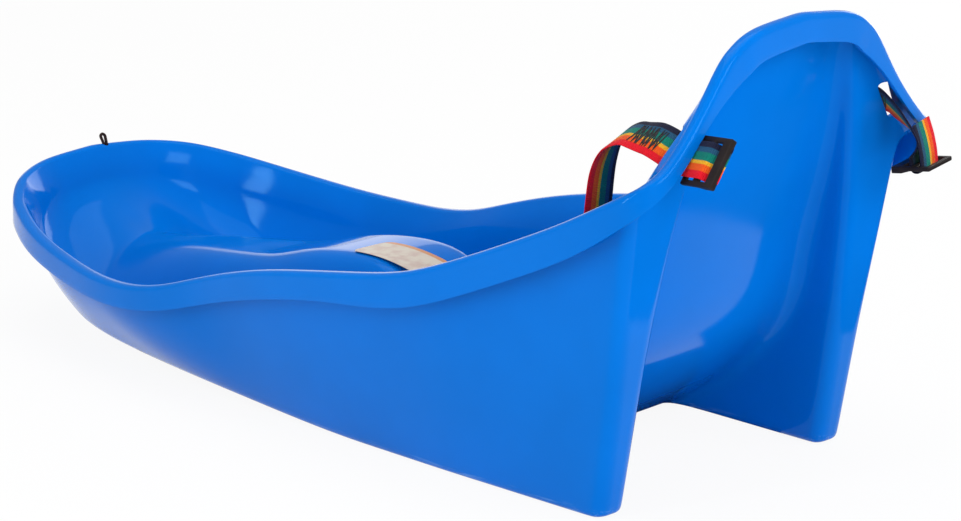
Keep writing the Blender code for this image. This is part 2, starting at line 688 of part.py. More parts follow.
def far_frame():
    """Frame of the clip on the -X side."""
    place = beside_slot(FAR_CLIP_STEP)
    place.x = -place.x
    return clip_frame(place, Vector(FAR_CLIP_UP).cross(Vector(FAR_CLIP_ACROSS)), FAR_CLIP_ACROSS)


def clip_frame(centre, along, across):
    """Middle of a ladder clip, and its directions along the belt, across it and out of its top."""
    across = Vector(across).normalized()
    along = Vector(along)
    along = (along - across * along.dot(across)).normalized()
    return Vector(centre), along, across, across.cross(along)


def woven_end(frame):
    """Belt end through a clip from behind: under the bars at its ends and over the middle one."""
    centre, along, across, top = frame
    under = CLIP_THICKNESS / 2 + FIT + BELT_THICKNESS / 2
    inner = CLIP_MIDDLE_BAR / 2 + FIT
    outer = CLIP_MIDDLE_BAR / 2 + CLIP_WINDOW - FIT
    behind = outer + CLIP_WIDE_BAR + NEAR_PAST
    ahead = outer + CLIP_END_BAR + NEAR_PAST
    lead = -CLIP_THICKNESS / 3
    stations = [(behind + NEAR_TAIL, -under - FIT), (behind, -under), (outer, -under), (inner, under),
                (-inner, under), (-outer, -under), (-ahead, -under), (-ahead - NEAR_LEAD, lead)]
    return [tuple(centre + along * a + top * n) + tuple(across) for a, n in stations]


def looped_end(frame):
    """Belt end that hangs above a level clip, goes down through it, round its bar and up again."""
    centre, along, across, top = frame
    turn = CLIP_MIDDLE_BAR / 2 + BELT_THICKNESS / 2 + 2 * FIT
    lean = Vector(FAR_TAIL_LEAN)
    path = [centre - along * (turn + 3 * FIT) + top * FAR_TAIL + lean,
            centre - along * (turn + 2 * FIT) + top * FAR_TAIL * 0.6 + lean * 0.4,
            centre - along * turn + top * FAR_LOOP_RISE[0]]
    for k in range(TURN_STEPS + 1):
        angle = math.pi * (1 + k / TURN_STEPS)
        path.append(centre + along * turn * math.cos(angle) + top * turn * math.sin(angle))
    path.append(centre + along * turn + top * FAR_LOOP_RISE[1])
    return [tuple(p) + tuple(across) for p in path]


def buckle_height():
    """Middle of the buckle above the ground, lying on the seat floor."""
    highest = max(floor_height(0.0, BUCKLE_Y + s * BUCKLE_WIDTH / 2) for s in (-1, 1))
    return highest + WALL + FIT + BUCKLE_HEIGHT / 2


def bar_end(bar_x):
    """Belt end that goes round a buckle bar and lies back under the belt."""
    level = buckle_height()
    y = BUCKLE_Y
    out = bar_x + BELT_TAIL
    lower = level - BELT_TURN
    upper = lower + BELT_THICKNESS + FIT
    lead = [(out - 0.0030, y, upper), (out - 0.0080, y, level + 0.0010),
            (bar_x + 0.0030, y, level + BELT_TURN - BELT_FALL)]
    turn = []
    for k in range(TURN_STEPS + 1):
        angle = math.pi / 2 + math.pi * k / TURN_STEPS
        turn.append((bar_x + BELT_TURN * math.cos(angle), y, level + BELT_TURN * math.sin(angle)))
    tail = [(bar_x + BELT_TAIL / 3, y, lower), (out, y, lower)]
    return lead, turn, tail


def sampled(path):
    """Fine points along a belt route."""
    return curve_through([Vector(p) for p in path], BELT_SAMPLES)


def belt_path(rear, bar_x):
    """Whole middle line of one belt half on the +X side, from its rear end to the buckle."""
    lead, turn, tail = bar_end(bar_x)
    across = (0.0, -1.0, 0.0)
    route = rear + from_slot(SLOT_ROUTE) + BELT_ROUTE + [p + across for p in lead]
    loop = [Vector(p + across) for p in turn + tail]
    return sampled(route)[:-1] + [Vector(route[-1])] + loop


def mirrored(points):
    """The same points on the other side of the sled."""
    return [(-p[0], p[1], p[2], -p[3], p[4], p[5]) for p in points]


def belt_left(finish):
    """Belt half on the +X side, with the buckle's socket at its end."""
    return belt_strip("belt_left", belt_path(woven_end(near_frame()), SOCKET_BAR_X), finish)


def belt_right(finish):
    """Belt half on the -X side, with the buckle's plug at its end."""
    rear = mirrored(looped_end(far_frame())) + from_slot(FAR_DROP)
    path = [Vector(p) for p in mirrored(belt_path(rear, PLUG_BAR_X))]
    return belt_strip("belt_right", path, finish)


def ladder_clip(name, frame, finish):
    """Flat ladder with two windows for the belt."""
    centre, along, across, top = frame
    bar = CLIP_MIDDLE_BAR / 2
    window = bar + CLIP_WINDOW
    rail = BELT_WIDTH / 2 + CLIP_SLACK
    rungs = [-window - CLIP_END_BAR, -window, -bar, bar, window, window + CLIP_WIDE_BAR]
    rails = [-rail - CLIP_RAIL, -rail, rail, rail + CLIP_RAIL]
    bm = bmesh.new()
    grid_patch(bm, 5, 3, lambda i, j: Vector((rungs[i], rails[j], -CLIP_THICKNESS / 2)))
    windows = [f for f in bm.faces if abs(f.calc_center_median().y) < rail
               and bar < abs(f.calc_center_median().x) < window]
    bmesh.ops.delete(bm, geom=windows, context="FACES")
    made = bmesh.ops.extrude_face_region(bm, geom=bm.faces[:])
    raised = [v for v in made["geom"] if isinstance(v, bmesh.types.BMVert)]
    bmesh.ops.translate(bm, verts=raised, vec=(0, 0, CLIP_THICKNESS))
    bmesh.ops.recalc_face_normals(bm, faces=bm.faces)
    sharp = [e for e in bm.edges if e.calc_face_angle(0.0) > 1.0]
    bmesh.ops.bevel(bm, geom=sharp, offset=CLIP_ROUND, segments=1, profile=0.5, affect="EDGES", material=-1)
    place = Matrix((along, across, top)).transposed().to_4x4()
    if place.determinant() < 0:
        place = Matrix((along, across, -top)).transposed().to_4x4()
    place.translation = centre + Vector((0, HEEL_LINE_Y, 0))
    bmesh.ops.transform(bm, matrix=place, verts=bm.verts)
    bmesh.ops.recalc_face_normals(bm, faces=bm.faces)
    return add_object(name, bm, finish, 30)


SOCKET_BAR_X = BUCKLE_MOUTH_X + SOCKET_LENGTH - BELT_BAR / 2
PLUG_BAR_X = -BUCKLE_MOUTH_X + PLUG_BASE - BELT_BAR / 2


def buckle_centre():
    """Middle line of the buckle at the socket's mouth."""
    return Vector((BUCKLE_MOUTH_X, BUCKLE_Y + HEEL_LINE_Y, buckle_height()))


def boxed(name, low, high, round_by, finish=None):
    """Box with rounded edges, with its origin on the line that the plug slides along."""
    bm = bmesh.new()
    box(bm, low, high)
    if round_by:
        bmesh.ops.bevel(bm, geom=bm.edges[:], offset=round_by, segments=2, profile=0.5,
                        affect="EDGES", material=-1)
    thing = add_object(name, bm, finish, 30) if finish else add_cutter(name, bm)
    thing.location = buckle_centre()
    return thing


def belt_opening(thing, name, bar, end, side):
    """Window for the belt beside a bar at a buckle end, and room above and below the bar."""
    wide = BELT_WIDTH / 2 + BELT_SLACK
    tall = BUCKLE_HEIGHT
    inner = bar - side * (BELT_BAR / 2 + BELT_WINDOW)
    low = min(inner, bar - side * BELT_BAR / 2)
    high = max(inner, bar - side * BELT_BAR / 2)
    cut(thing, boxed(name + "_window", (low, -wide, -tall), (high, wide, tall), 0.0))
    low = min(inner, end + side * CUT_PAST)
    high = max(inner, end + side * CUT_PAST)
    half = BELT_BAR_HEIGHT / 2
    cut(thing, boxed(name + "_above", (low, -wide, half), (high, wide, tall), 0.0))
    cut(thing, boxed(name + "_below", (low, -wide, -tall), (high, wide, -half), 0.0))


def buckle_socket(finish):
    """Hollow half of the buckle, open at the mouth and at both sides."""
    half = BUCKLE_WIDTH / 2
    tall = BUCKLE_HEIGHT / 2
    room = PRONG_HEIGHT / 2 + FIT
    deep = PRONG_LENGTH + PRONG_ROOM[0]
    wide = PRONG_OUT + PRONG_ROOM[1]
    start, end = PRESS_WINDOW
    socket = boxed("buckle_socket", (0, -half, -tall), (SOCKET_LENGTH, half, tall), BUCKLE_ROUND, finish)
    cut(socket, boxed("socket_cavity", (-CUT_PAST, -wide, -room), (deep, wide, room), 0.0))
    for name, side in (("press_window_a", 1), ("press_window_b", -1)):
        low = min(side * (wide - CUT_PAST / 2), side * (half + CUT_PAST))
        high = max(side * (wide - CUT_PAST / 2), side * (half + CUT_PAST))
        cut(socket, boxed(name, (start, low, -room), (end, high, room), 0.0))
    belt_opening(socket, "socket", SOCKET_LENGTH - BELT_BAR / 2, SOCKET_LENGTH, 1)
    return socket


def buckle_plug(finish):
    """Half with two spring prongs and a guide between them."""
    half = BUCKLE_WIDTH / 2
    tall = BUCKLE_HEIGHT / 2 - PLUG_THINNER
    prong = PRONG_HEIGHT / 2
    rounding = BUCKLE_ROUND - PLUG_THINNER
    plug = boxed("buckle_plug", (-PLUG_BASE, -half, -tall), (-FIT, half, tall), rounding, finish)
    arms = [("prong_a", PRONG_IN, PRONG_OUT, PRONG_LENGTH), ("prong_b", -PRONG_OUT, -PRONG_IN, PRONG_LENGTH),
            ("guide", -GUIDE_WIDTH / 2, GUIDE_WIDTH / 2, GUIDE_LENGTH)]
    for name, low, high, reach in arms:
        arm = boxed(name, (-PLUG_ROOT, low, -prong), (reach, high, prong), 0.0)
        joined = plug.modifiers.new(name, "BOOLEAN")
        joined.operation = "UNION"
        joined.solver = "EXACT"
        joined.object = arm
    belt_opening(plug, "plug", -PLUG_BASE + BELT_BAR / 2, -PLUG_BASE, -1)
    return plug


def eye_cutter():
    """Round hole through the rim for the wire eye."""
    bm = bmesh.new()
    bmesh.ops.create_cone(bm, cap_ends=True, segments=12, radius1=EYE_HOLE / 2, radius2=EYE_HOLE / 2,
                          depth=4 * WALL)
    bmesh.ops.translate(bm, verts=bm.verts, vec=(EYE_PLACE[0], EYE_PLACE[1] + HEEL_LINE_Y, RIM[-1][2]))
    return add_cutter("eye_hole", bm)


def tow_eye(finish):
    """Wire eye that stands in a hole in the rim, its two legs knotted below."""
    x, y = EYE_PLACE
    rim = RIM[-1][2]
    half = EYE_WIDTH / 2 - EYE_WIRE / 2
    legs = EYE_HOLE / 2 - EYE_WIRE / 2 - FIT
    top = rim + EYE_HEIGHT - EYE_WIRE / 2 - half
    low = rim - WALL - EYE_LEG
    path = [Vector((x - legs, y, low)), Vector((x - legs, y, rim))]
    for k in range(TURN_STEPS + 1):
        angle = math.pi - math.pi * k / TURN_STEPS
        path.append(Vector((x + half * math.cos(angle), y, top + half * math.sin(angle))))
    path += [Vector((x + legs, y, rim)), Vector((x + legs, y, low))]
    curve = bpy.data.curves.new("tow_eye", "CURVE")
    curve.dimensions = "3D"
    line = curve.splines.new("POLY")
    line.points.add(len(path) - 1)
    for point, spot in zip(line.points, path):
        point.co = (spot.x, spot.y + HEEL_LINE_Y, spot.z, 1.0)
    curve.bevel_depth = EYE_WIRE / 2
    curve.bevel_resolution = 1
    curve.use_fill_caps = True
    curve.materials.append(finish)
    eye = bpy.data.objects.new("tow_eye", curve)
    bpy.context.scene.collection.objects.link(eye)
    return eye


def main():
    clear_scene()
    sled_shell()
    webbing = material("striped_webbing", WEBBING, 0.8)
    black = material("black_nylon", BLACK, 0.4)
    belt_left(webbing)
    belt_right(webbing)
    ladder_clip("ladder_clip_left", near_frame(), black)
    ladder_clip("ladder_clip_right", far_frame(), black)
    buckle_socket(black)
    buckle_plug(black)
    tow_eye(black)


main()
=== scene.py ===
"""Moulded toddler sled: shell, striped lap belt, ladder clips, buckle, nose loop, sticker and studio.

Metres, +Z up, X across the sled, the nose towards -Y. Places along Y are taken from the heel line,
where the two heels meet the ground. The shell's outlines and the belt's routes are drawn for the +X half
and mirrored.
"""
import json
import math

import bmesh
import bpy
from bpy.props import FloatProperty, FloatVectorProperty, IntProperty, PointerProperty
from bpy.types import Operator, Panel, PropertyGroup
from mathutils import Matrix, Vector

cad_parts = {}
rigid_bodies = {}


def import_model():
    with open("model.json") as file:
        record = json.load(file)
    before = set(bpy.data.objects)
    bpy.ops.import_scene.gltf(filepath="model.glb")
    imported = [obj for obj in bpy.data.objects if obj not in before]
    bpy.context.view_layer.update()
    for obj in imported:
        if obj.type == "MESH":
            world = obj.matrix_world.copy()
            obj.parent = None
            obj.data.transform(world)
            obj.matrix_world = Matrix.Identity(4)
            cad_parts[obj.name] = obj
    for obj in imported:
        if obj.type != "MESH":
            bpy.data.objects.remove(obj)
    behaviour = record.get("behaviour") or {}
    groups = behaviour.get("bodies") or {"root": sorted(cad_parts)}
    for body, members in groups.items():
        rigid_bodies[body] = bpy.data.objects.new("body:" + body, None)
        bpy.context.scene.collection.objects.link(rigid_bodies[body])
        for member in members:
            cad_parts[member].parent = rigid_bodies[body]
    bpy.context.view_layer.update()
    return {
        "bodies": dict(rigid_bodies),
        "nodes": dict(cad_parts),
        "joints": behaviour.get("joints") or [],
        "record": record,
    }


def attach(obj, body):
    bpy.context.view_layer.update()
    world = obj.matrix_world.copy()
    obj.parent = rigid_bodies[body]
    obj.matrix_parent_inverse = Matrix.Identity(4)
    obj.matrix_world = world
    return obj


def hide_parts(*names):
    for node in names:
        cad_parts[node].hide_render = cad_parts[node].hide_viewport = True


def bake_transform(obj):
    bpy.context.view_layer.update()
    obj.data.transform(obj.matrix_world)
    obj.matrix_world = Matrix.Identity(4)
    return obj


bl_info = {
    "name": "Toddler sled",
    "version": (1, 0, 0),
    "blender": (4, 5, 0),
    "location": "View3D > Sidebar > Sled",
    "description": "Models and dresses a moulded pull sled with a striped lap belt",
    "category": "Object",
}

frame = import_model()

# Overall sizes, and the sizes at which the outlines below are drawn
WIDTH = 0.3268
LENGTH = 0.7615
HEIGHT = 0.3205
DRAWN_WIDTH = 0.3268
DRAWN_LENGTH = 0.7615
DRAWN_HEIGHT = 0.3205
GROWTH = {"x": WIDTH / DRAWN_WIDTH, "y": LENGTH / DRAWN_LENGTH, "z": HEIGHT / DRAWN_HEIGHT, "-": 1.0}


def stretched(axes, rows):
    """Drawn numbers taken to the overall sizes, each one along its own axis."""
    return [tuple(number * GROWTH[axis] for axis, number in zip(axes, row)) for row in rows]


# Heel line, measured back from the origin
HEEL_LINE_Y = 0.2867 * GROWTH["y"]

# Shell wall and rim
WALL = 0.003
RIM_ROUND = 0.0013              # radius under both corners of the rim
RIM_ROUND_MIDDLE = 0.3          # share of that radius left at the middle point of the round
SHOULDER_DROP = 0.022           # where the wall starts to roll out to the rim
SHOULDER_IN = 0.004             # how far inboard of the rim's inside edge it is there
FLARE_PULL = 0.55               # share of the roll that keeps the wall's lean

# Sole and seat floor
SOLE_FILLET = 0.005
SOLE_FILLET_SHARE = 0.25        # largest share of a wall's height that the sole's rounding takes
SOLE_FILLET_WALL = 0.02         # lowest wall that this share is taken of
PANEL_FILLET = 0.009            # run of the floor into the backrest
PANEL_FILLET_POWER = 4
BOW_FILLET = 0.007
BOW_FILLET_LEAD = 4             # lines before the bow where its rounding starts
RUNNER_STEP = 0.003             # floor between the runners, above their soles
RUNNER_INSET = 0.005            # the step starts this far inside the backrest's edge
RUNNER_RUN = 0.007              # and rises over this run
RUNNER_STEP_END = 0.330 * GROWTH["y"]   # ahead of the heel line, where the step starts to fade
RUNNER_STEP_FADE = 0.120 * GROWTH["y"]
ROCKER_START = 0.228 * GROWTH["y"]      # ahead of the heel line, where the soles start to lift
ROCKER_RUN = 0.300 * GROWTH["y"]
ROCKER_LIFT = 0.0135
ROCKER_POWER = 1.15

# Heels, which are the two hollow legs beside the backrest
HEEL_LEAN = 0.165               # rear face's lean, back per unit up
HEEL_FACE_Y = 0.0084            # rear face's sharp edge on the ground
HEEL_CORNER_RADIUS = 0.010
HEEL_CORNER_SHARE = 0.45        # largest share of a wall that the heel's corner takes
PANEL_CORNER_RADIUS = 0.012
PANEL_CORNER_SHARE = 0.8
SIDE_START = 0.130 * GROWTH["y"]     # ahead of the heel line, where heel wall becomes side wall
BACKREST_CROWN = 0.006
SIDE_CURVE = 1.15               # power of the walls' curve up from the sole
BOW_CURVE = 1.90
BOW_CURVE_RATE = 1.8            # how soon the bow's curve is reached

# Outlines of the heel walls at a height: (height, half-width or place)
BACKREST_EDGE_X = stretched("zx", [
    (0.000, 0.0955), (0.100, 0.0920), (0.190, 0.0825), (0.225, 0.0755), (0.255, 0.0660),
    (0.300, 0.0480)])
BACKREST_EDGE_Y = stretched("zy", [
    (0.003, -0.1240), (0.045, -0.0610), (0.100, -0.0150), (0.150, -0.0045), (0.200, 0.0140),
    (0.245, 0.0305), (0.290, 0.0440)])
HEEL_INNER_X = stretched("zx", [
    (0.000, 0.0945), (0.075, 0.0930), (0.150, 0.0885), (0.200, 0.0830), (0.245, 0.0745),
    (0.290, 0.0630)])
HEEL_OUTER_X = stretched("zx", [
    (0.000, 0.1218), (0.090, 0.1242), (0.150, 0.1288), (0.210, 0.1322), (0.290, 0.1360)])

# Inside edge of the rim, from the middle of the back to the nose: (x, y, z, skirt's depth, its reach out)
RIM_BACK = stretched("xyz--", [
    (0.0000, 0.0585, 0.3205, 0.0185, 0.0115), (0.0440, 0.0585, 0.3155, 0.0195, 0.0115),
    (0.0680, 0.0575, 0.3030, 0.0195, 0.0115), (0.0965, 0.0570, 0.2670, 0.0092, 0.0105),
    (0.1185, 0.0565, 0.2425, 0.0092, 0.0105)])
RIM_CORNER = stretched("xyz--", [(0.1315, 0.0515, 0.2300, 0.0130, 0.0110)])
RIM_SIDE = stretched("xyz--", [
    (0.1365, 0.0380, 0.2200, 0.0185, 0.0115), (0.1390, 0.0080, 0.2030, 0.0225, 0.0115),
    (0.1440, -0.0950, 0.1576, 0.0230, 0.0115), (0.1465, -0.1290, 0.1440, 0.0233, 0.0115),
    (0.1470, -0.1610, 0.1370, 0.0232, 0.0115), (0.1485, -0.2265, 0.1264, 0.0190, 0.0115),
    (0.1480, -0.2865, 0.1154, 0.0200, 0.0115), (0.1455, -0.3465, 0.0984, 0.0190, 0.0115),
    (0.1505, -0.3915, 0.0834, 0.0180, 0.0115), (0.1520, -0.4385, 0.0774, 0.0175, 0.0115),
    (0.1415, -0.4985, 0.0804, 0.0180, 0.0115), (0.1255, -0.5675, 0.0890, 0.0185, 0.0110)])
RIM_BOW = stretched("xyz--", [(0.1080, -0.6080, 0.0980, 0.0190, 0.0100)])
RIM_NOSE = stretched("xyz--", [
    (0.0760, -0.6430, 0.1090, 0.0190, 0.0095), (0.0400, -0.6565, 0.1138, 0.0185, 0.0095),
    (0.0000, -0.6580, 0.1165, 0.0185, 0.0095)])

# Outer edge of the soles, from the heels to the middle of the bow: (x, y)
SOLE_SIDE = stretched("xy", [
    (0.125, -0.130), (0.125, -0.240), (0.121, -0.370), (0.114, -0.490), (0.105, -0.538)])
SOLE_BOW = stretched("xy", [(0.080, -0.565), (0.045, -0.588), (0.000, -0.598)])

# Ridge down the middle of the floor, between the two foot wells: (y, height of its underside)
RIDGE_LINE = stretched("yz", [
    (-0.150, 0.003), (-0.190, 0.006), (-0.225, 0.052), (-0.257, 0.092), (-0.300, 0.097),
    (-0.365, 0.090), (-0.409, 0.076), (-0.455, 0.069), (-0.514, 0.063), (-0.569, 0.055),
    (-0.600, 0.052)])
RIDGE_TOP_X = stretched("yx", [
    (-0.600, 0.000), (-0.530, 0.016), (-0.450, 0.032), (-0.300, 0.038), (-0.190, 0.038)])
RIDGE_FOOT_X = stretched("yx", [
    (-0.600, 0.100), (-0.530, 0.078), (-0.450, 0.060), (-0.300, 0.064), (-0.190, 0.066)])

# Lap belt and its slots in the rear faces of the heels
BELT_WIDTH = 0.025
BELT_THICKNESS = 0.0014
BELT_EDGE_THIN = 0.75           # share of the thickness that the belt's edges lose
BELT_EDGE_POWER = 18
FIT = 0.0004                    # gap between pieces that touch
SLOT = stretched("xyz", [(0.1045, 0.0490, 0.2475)])[0]   # middle of the slot on the +X side
SLOT_TILT = math.radians(53)    # slot's long axis below level, going outwards
SLOT_SLACK = 0.007              # slot's length beyond the belt's width
SLOT_LENGTH = BELT_WIDTH + SLOT_SLACK
SLOT_WIDTH = 0.007
SLOT_ROUND = 0.45               # share of the slot's width that its corners' radius is
SLOT_CUT = 0.014                # half the depth of the cut through the wall

# Ladder clips that stop the belt behind the slots
CLIP_WINDOW = 0.0065            # both windows, along the belt
CLIP_THICKNESS = 0.003
CLIP_RAIL = 0.0035
CLIP_END_BAR = 0.0032
CLIP_MIDDLE_BAR = 0.0046
CLIP_WIDE_BAR = 0.0067          # end bar on the far side from the belt's slot
CLIP_SLACK = 0.001              # window's clearance beside the belt
CLIP_LIP = 0.0016               # wide bar's rise above the rest of the clip
NEAR_CLIP_STEP = (-0.0025, 0.0270, -0.0045)   # from the slot
NEAR_CLIP_ALONG = (0.04, 1.00, 0.17)
NEAR_CLIP_ACROSS = (0.60, 0.00, -0.80)
NEAR_TAIL = 0.0002              # loose end behind the clip
NEAR_LEAD = 0.0040              # straight run of the belt past the clip's front bar
FAR_CLIP_STEP = (0.0075, 0.0285, -0.0405)
FAR_CLIP_UP = (-0.14, -0.14, 1.00)
FAR_CLIP_ACROSS = (-0.97, -0.20, 0.04)
FAR_TAIL = 0.028                # belt end above the far clip
FAR_TAIL_LEAN = (0.0020, -0.0040, 0.0)
FAR_LOOP_RISE = (0.0060, 0.0070)   # where the loop's two layers start to turn, above the clip
FAR_TAIL_BEND = (0.6, 0.4)      # share of its height and of its lean where the loose end bends

# Side-release buckle lying fastened on the seat, seen along X
BUCKLE_Y = -0.1450 * GROWTH["y"]
BUCKLE_HEIGHT = 0.010
BUCKLE_SIDE = 0.004             # buckle's side beyond the belt's edge
BUCKLE_WIDTH = BELT_WIDTH + 2 * BUCKLE_SIDE
BUCKLE_MOUTH_X = -0.011         # where the plug's shoulder meets the socket
SOCKET_LENGTH = 0.036
PLUG_BASE = 0.014
BELT_BAR = 0.0035               # bars that the belt ends go round
BELT_TURN = 0.0041              # radius of the belt's middle line round a bar
BELT_TAIL = 0.018               # sewn end below the belt
BELT_FALL = 0.0005              # belt's drop from the top of its turn, just before the bar
BELT_LEAD = (0.0030, 0.0080)    # the belt comes down to the sewn end between these, from its edge
BELT_LEAD_RISE = 0.0010         # above the buckle's middle, at the second of these
BELT_BAR_LEAD = 0.0030          # where the belt is straight before the bar

# Belt from its slot to the buckle, +X side: its middle line, then the direction towards its outer edge
SLOT_ROUTE = [                  # places as steps from the slot
    (-0.0017, 0.0010, -0.0010, 0.60, 0.00, -0.80), (-0.0031, -0.0180, 0.0030, 0.74, 0.00, -0.67),
    (-0.0048, -0.0340, 0.0030, 0.88, 0.00, -0.47)]
BELT_ROUTE = stretched("xyz---", [
    (0.0975, -0.0030, 0.2430, 0.93, 0.00, -0.37), (0.0962, -0.0150, 0.2220, 1.00, 0.00, -0.15),
    (0.0955, -0.0195, 0.1950, 1.00, 0.00, 0.00), (0.0940, -0.0250, 0.1600, 1.00, -0.05, 0.00),
    (0.0870, -0.0430, 0.1100, 0.95, -0.25, -0.10), (0.0740, -0.0740, 0.0620, 0.80, -0.50, -0.10),
    (0.0590, -0.1100, 0.0300, 0.45, -0.85, 0.05), (0.0490, -0.1360, 0.0165, 0.15, -0.98, 0.00)])

# Belt from the far clip up to its slot, drawn on the +X side as steps from the slot
FAR_DROP = [
    (0.0048, 0.0248, -0.0262, 0.84, -0.54, -0.10), (0.0008, 0.0222, -0.0178, 0.74, -0.64, -0.20),
    (-0.0012, 0.0160, -0.0105, 0.69, -0.62, -0.37), (-0.0016, 0.0090, -0.0055, 0.66, -0.42, -0.62)]

# Wire loop at the nose
EYE_WIRE = 0.0020               # wire that the loop's outline leaves room for
EYE_HOLE = 0.0058
EYE_PLACE = stretched("xy", [(-0.0110, -0.6620)])[0]
EYE_HEIGHT = 0.0080             # above the rim
EYE_WIDTH = 0.0062
EYE_LEG = 0.0040                # below the rim's underside
LOOP_WIRE = 0.0025              # wire as it is drawn
LOOP_LEAN = 0.0016              # lean of the loop's top, towards +X and -Y

# Mesh fineness
WALL_ROWS = (0.07, 0.17, 0.30, 0.46, 0.64, 0.82, 1.00)
FILLET_ROWS = 3
FLARE_ROWS = 2
PANEL_STATIONS = (0.0, 0.19, 0.36, 0.49, 0.61, 0.74)
SIDE_SEGMENTS = 13
RIM_SAMPLES = 12
BELT_SAMPLES = 14
TURN_STEPS = 20
RIBBON_ACROSS = 14              # steps across each face of the webbing
THREAD_SIDES = 8
STICKER_CELLS = 28
HOLE_SIDES = 32

# Stitching on the belt: where it starts and ends along the belt, its reach across, its stroke
THREAD = 0.00042                # radius
TACK_HALF = 0.0075              # half of the zigzag's reach across the belt
TACK_PITCH = 0.0019             # from one stroke to the next
TACK_PITCH_AGAIN = 0.0031       # in the second pass over the first
TACK_NEAR = (0.0545, 0.0795)    # along the belt from its rear end
TACK_FAR = (0.0900, 0.1150)
TACK_ENDS = (0.0060, 0.0125)    # from the sewn end at the buckle
TACK_STEPS = 4                  # points along each stroke
LIFT = 0.00015                  # thread's middle above the webbing

# Camera at the photograph's place
CAMERA_SPOT = (1.52364, 1.32803, 0.68744)   # y from the heel line
CAMERA_LOOK = (-0.67703, -0.68895, -0.25882)
CAMERA_FOCUS = 3200.0           # focal length in pixels
IMAGE_WIDTH = 961.0
SENSOR = 36.0                   # width in millimetres

# Blank sticker on the ridge
STICKER_X = (-0.0050, 0.0315)
STICKER_Y = (-0.3235, -0.2560)
STICKER_ROUND = 0.0075
STICKER_LIFT = 0.00012

# Finishes
SHELL_DEEPER = 0.90             # share of the shell's colour in its deeper clouds
SHELL_SPECULAR = 0.17
SHELL_GLOSS_TINT = (0.25, 0.70, 1.0, 1.0)
SCUFF_COLOUR = (0.20, 0.42, 0.80, 1.0)
SCUFF_HEIGHT = (0.0015, 0.007)  # soles are scuffed up to here
STRAND = 0.0009                 # webbing's warp strands, across the belt
STRIPE_STARTS = [("navy", 0.0), ("blue", 0.16), ("green", 0.30), ("yellow", 0.52), ("orange", 0.62),
                 ("red", 0.80)]   # share of the belt's width where each stripe starts
THREAD_COLOURS = ((0.004, 0.004, 0.005, 1.0), (0.03, 0.03, 0.035, 1.0))
STICKER_FADE = (0.86, 0.72, 0.74)
STICKER_BAND = (0.115, 0.125)   # share of the sticker's width where its band ends
COLOUR_MIX_INPUTS = (0, 6, 7)   # factor and both colours of a Mix node
COLOUR_MIX_OUTPUT = 2

# Stage: the floor, and two dark cards seen only in the gloss, one beyond the -X heel as a painted dark
# reflection and one on the floor between the heels as painted shade of the sled's shadow
FLOOR_REACH = 8.0
FLOOR_DROP = 0.0002
FLOOR_GLOW = 0.92               # share of plain white that the floor shows to camera and gloss
# Colour of both cards, seen only in the gloss: painted shade and a painted dark reflection
PAINTED_CARD_COLOUR = (0.01, 0.01, 0.01, 1.0)
REFLECTION_CARD_SIZE = (1.220, 0.010, 0.195)
REFLECTION_CARD_PLACE = (-0.545, 0.243, 0.0)
REFLECTION_CARD_TURN = math.radians(27.0)
SHADE_CARD_SIZE = (0.210, 0.460, 0.001)
SHADE_CARD_PLACE = (0.0, 0.030, 0.0)

# Softboxes: (name, place, point that it faces, width and height, seen in the gloss)
SLED_MIDDLE = (0.0, 0.0, 0.12)
LAMPS = [
    ("overhead", (0.1, -0.1, 1.9), SLED_MIDDLE, (1.8, 1.8), True),
    ("key", (-0.9, 1.9, 0.9), SLED_MIDDLE, (1.2, 1.2), False),
    ("front", (1.0, 2.3, 0.8), SLED_MIDDLE, (1.2, 1.2), False),
    ("spot", (0.48, 2.07, 1.43), (0.08, 0.30, 0.28), (0.80, 0.80), True),
    ("fill", (2.2, -0.14, 1.05), (0.0, -0.14, 1.05), (0.28, 1.9), True),
    ("low", (-1.5, -1.9, 0.5), (0.0, 0.0, 0.5), (1.8, 0.8), True),
    ("side", (-2.2, -0.45, 0.75), (0.0, -0.25, 0.75), (0.8, 1.3), True)]


def smooth(stations, at):
    """Value at a place on a smooth curve through (place, value) stations, with no overshoot."""
    points = sorted(stations)
    if at <= points[0][0]:
        return points[0][1]
    if at >= points[-1][0]:
        return points[-1][1]
    slopes = [(b[1] - a[1]) / (b[0] - a[0]) for a, b in zip(points, points[1:])]
    tangents = [slopes[0]]
    for before, after in zip(slopes, slopes[1:]):
        tangents.append(0.0 if before * after <= 0 else 2 * before * after / (before + after))
    tangents.append(slopes[-1])
    i = max(k for k in range(len(points) - 1) if points[k][0] <= at)
    run = points[i + 1][0] - points[i][0]
    t = (at - points[i][0]) / run
    start = (1 + 2 * t) * (1 - t) ** 2
    end = t * t * (3 - 2 * t)
    lead = t * (1 - t) ** 2 * run
    trail = t * t * (t - 1) * run
    return start * points[i][1] + end * points[i + 1][1] + lead * tangents[i] + trail * tangents[i + 1]


def curve_through(points, samples):
    """Points along a smooth curve through the given ones, with the same count in each span."""
    path = []
    places = range(len(points))
    for i in range(len(points) - 1):
        for k in range(samples):
            at = i + k / samples
            path.append(Vector([smooth([(n, points[n][axis]) for n in places], at)
                                for axis in range(len(points[0]))]))
    path.append(Vector(points[-1]))
    return path


def spread(path, fractions):
    """Points at fractions of a path's length."""
    reach = [0.0]
    for a, b in zip(path, path[1:]):
        reach.append(reach[-1] + (b - a).length)
    found = []
    for fraction in fractions:
        want = fraction * reach[-1]
        i = max(k for k in range(len(path) - 1) if reach[k] <= want + 1e-12)
        span = reach[i + 1] - reach[i]
        found.append(path[i].lerp(path[i + 1], min(1.0, (want - reach[i]) / span)))
    return found


def even(count):
    """Fractions that cut a length into equal parts, without the first end."""
    return [(k + 1) / count for k in range(count)]


def ease(t):
    """Soft step from 0 to 1."""
    t = min(1.0, max(0.0, t))
    return t * t * (3 - 2 * t)


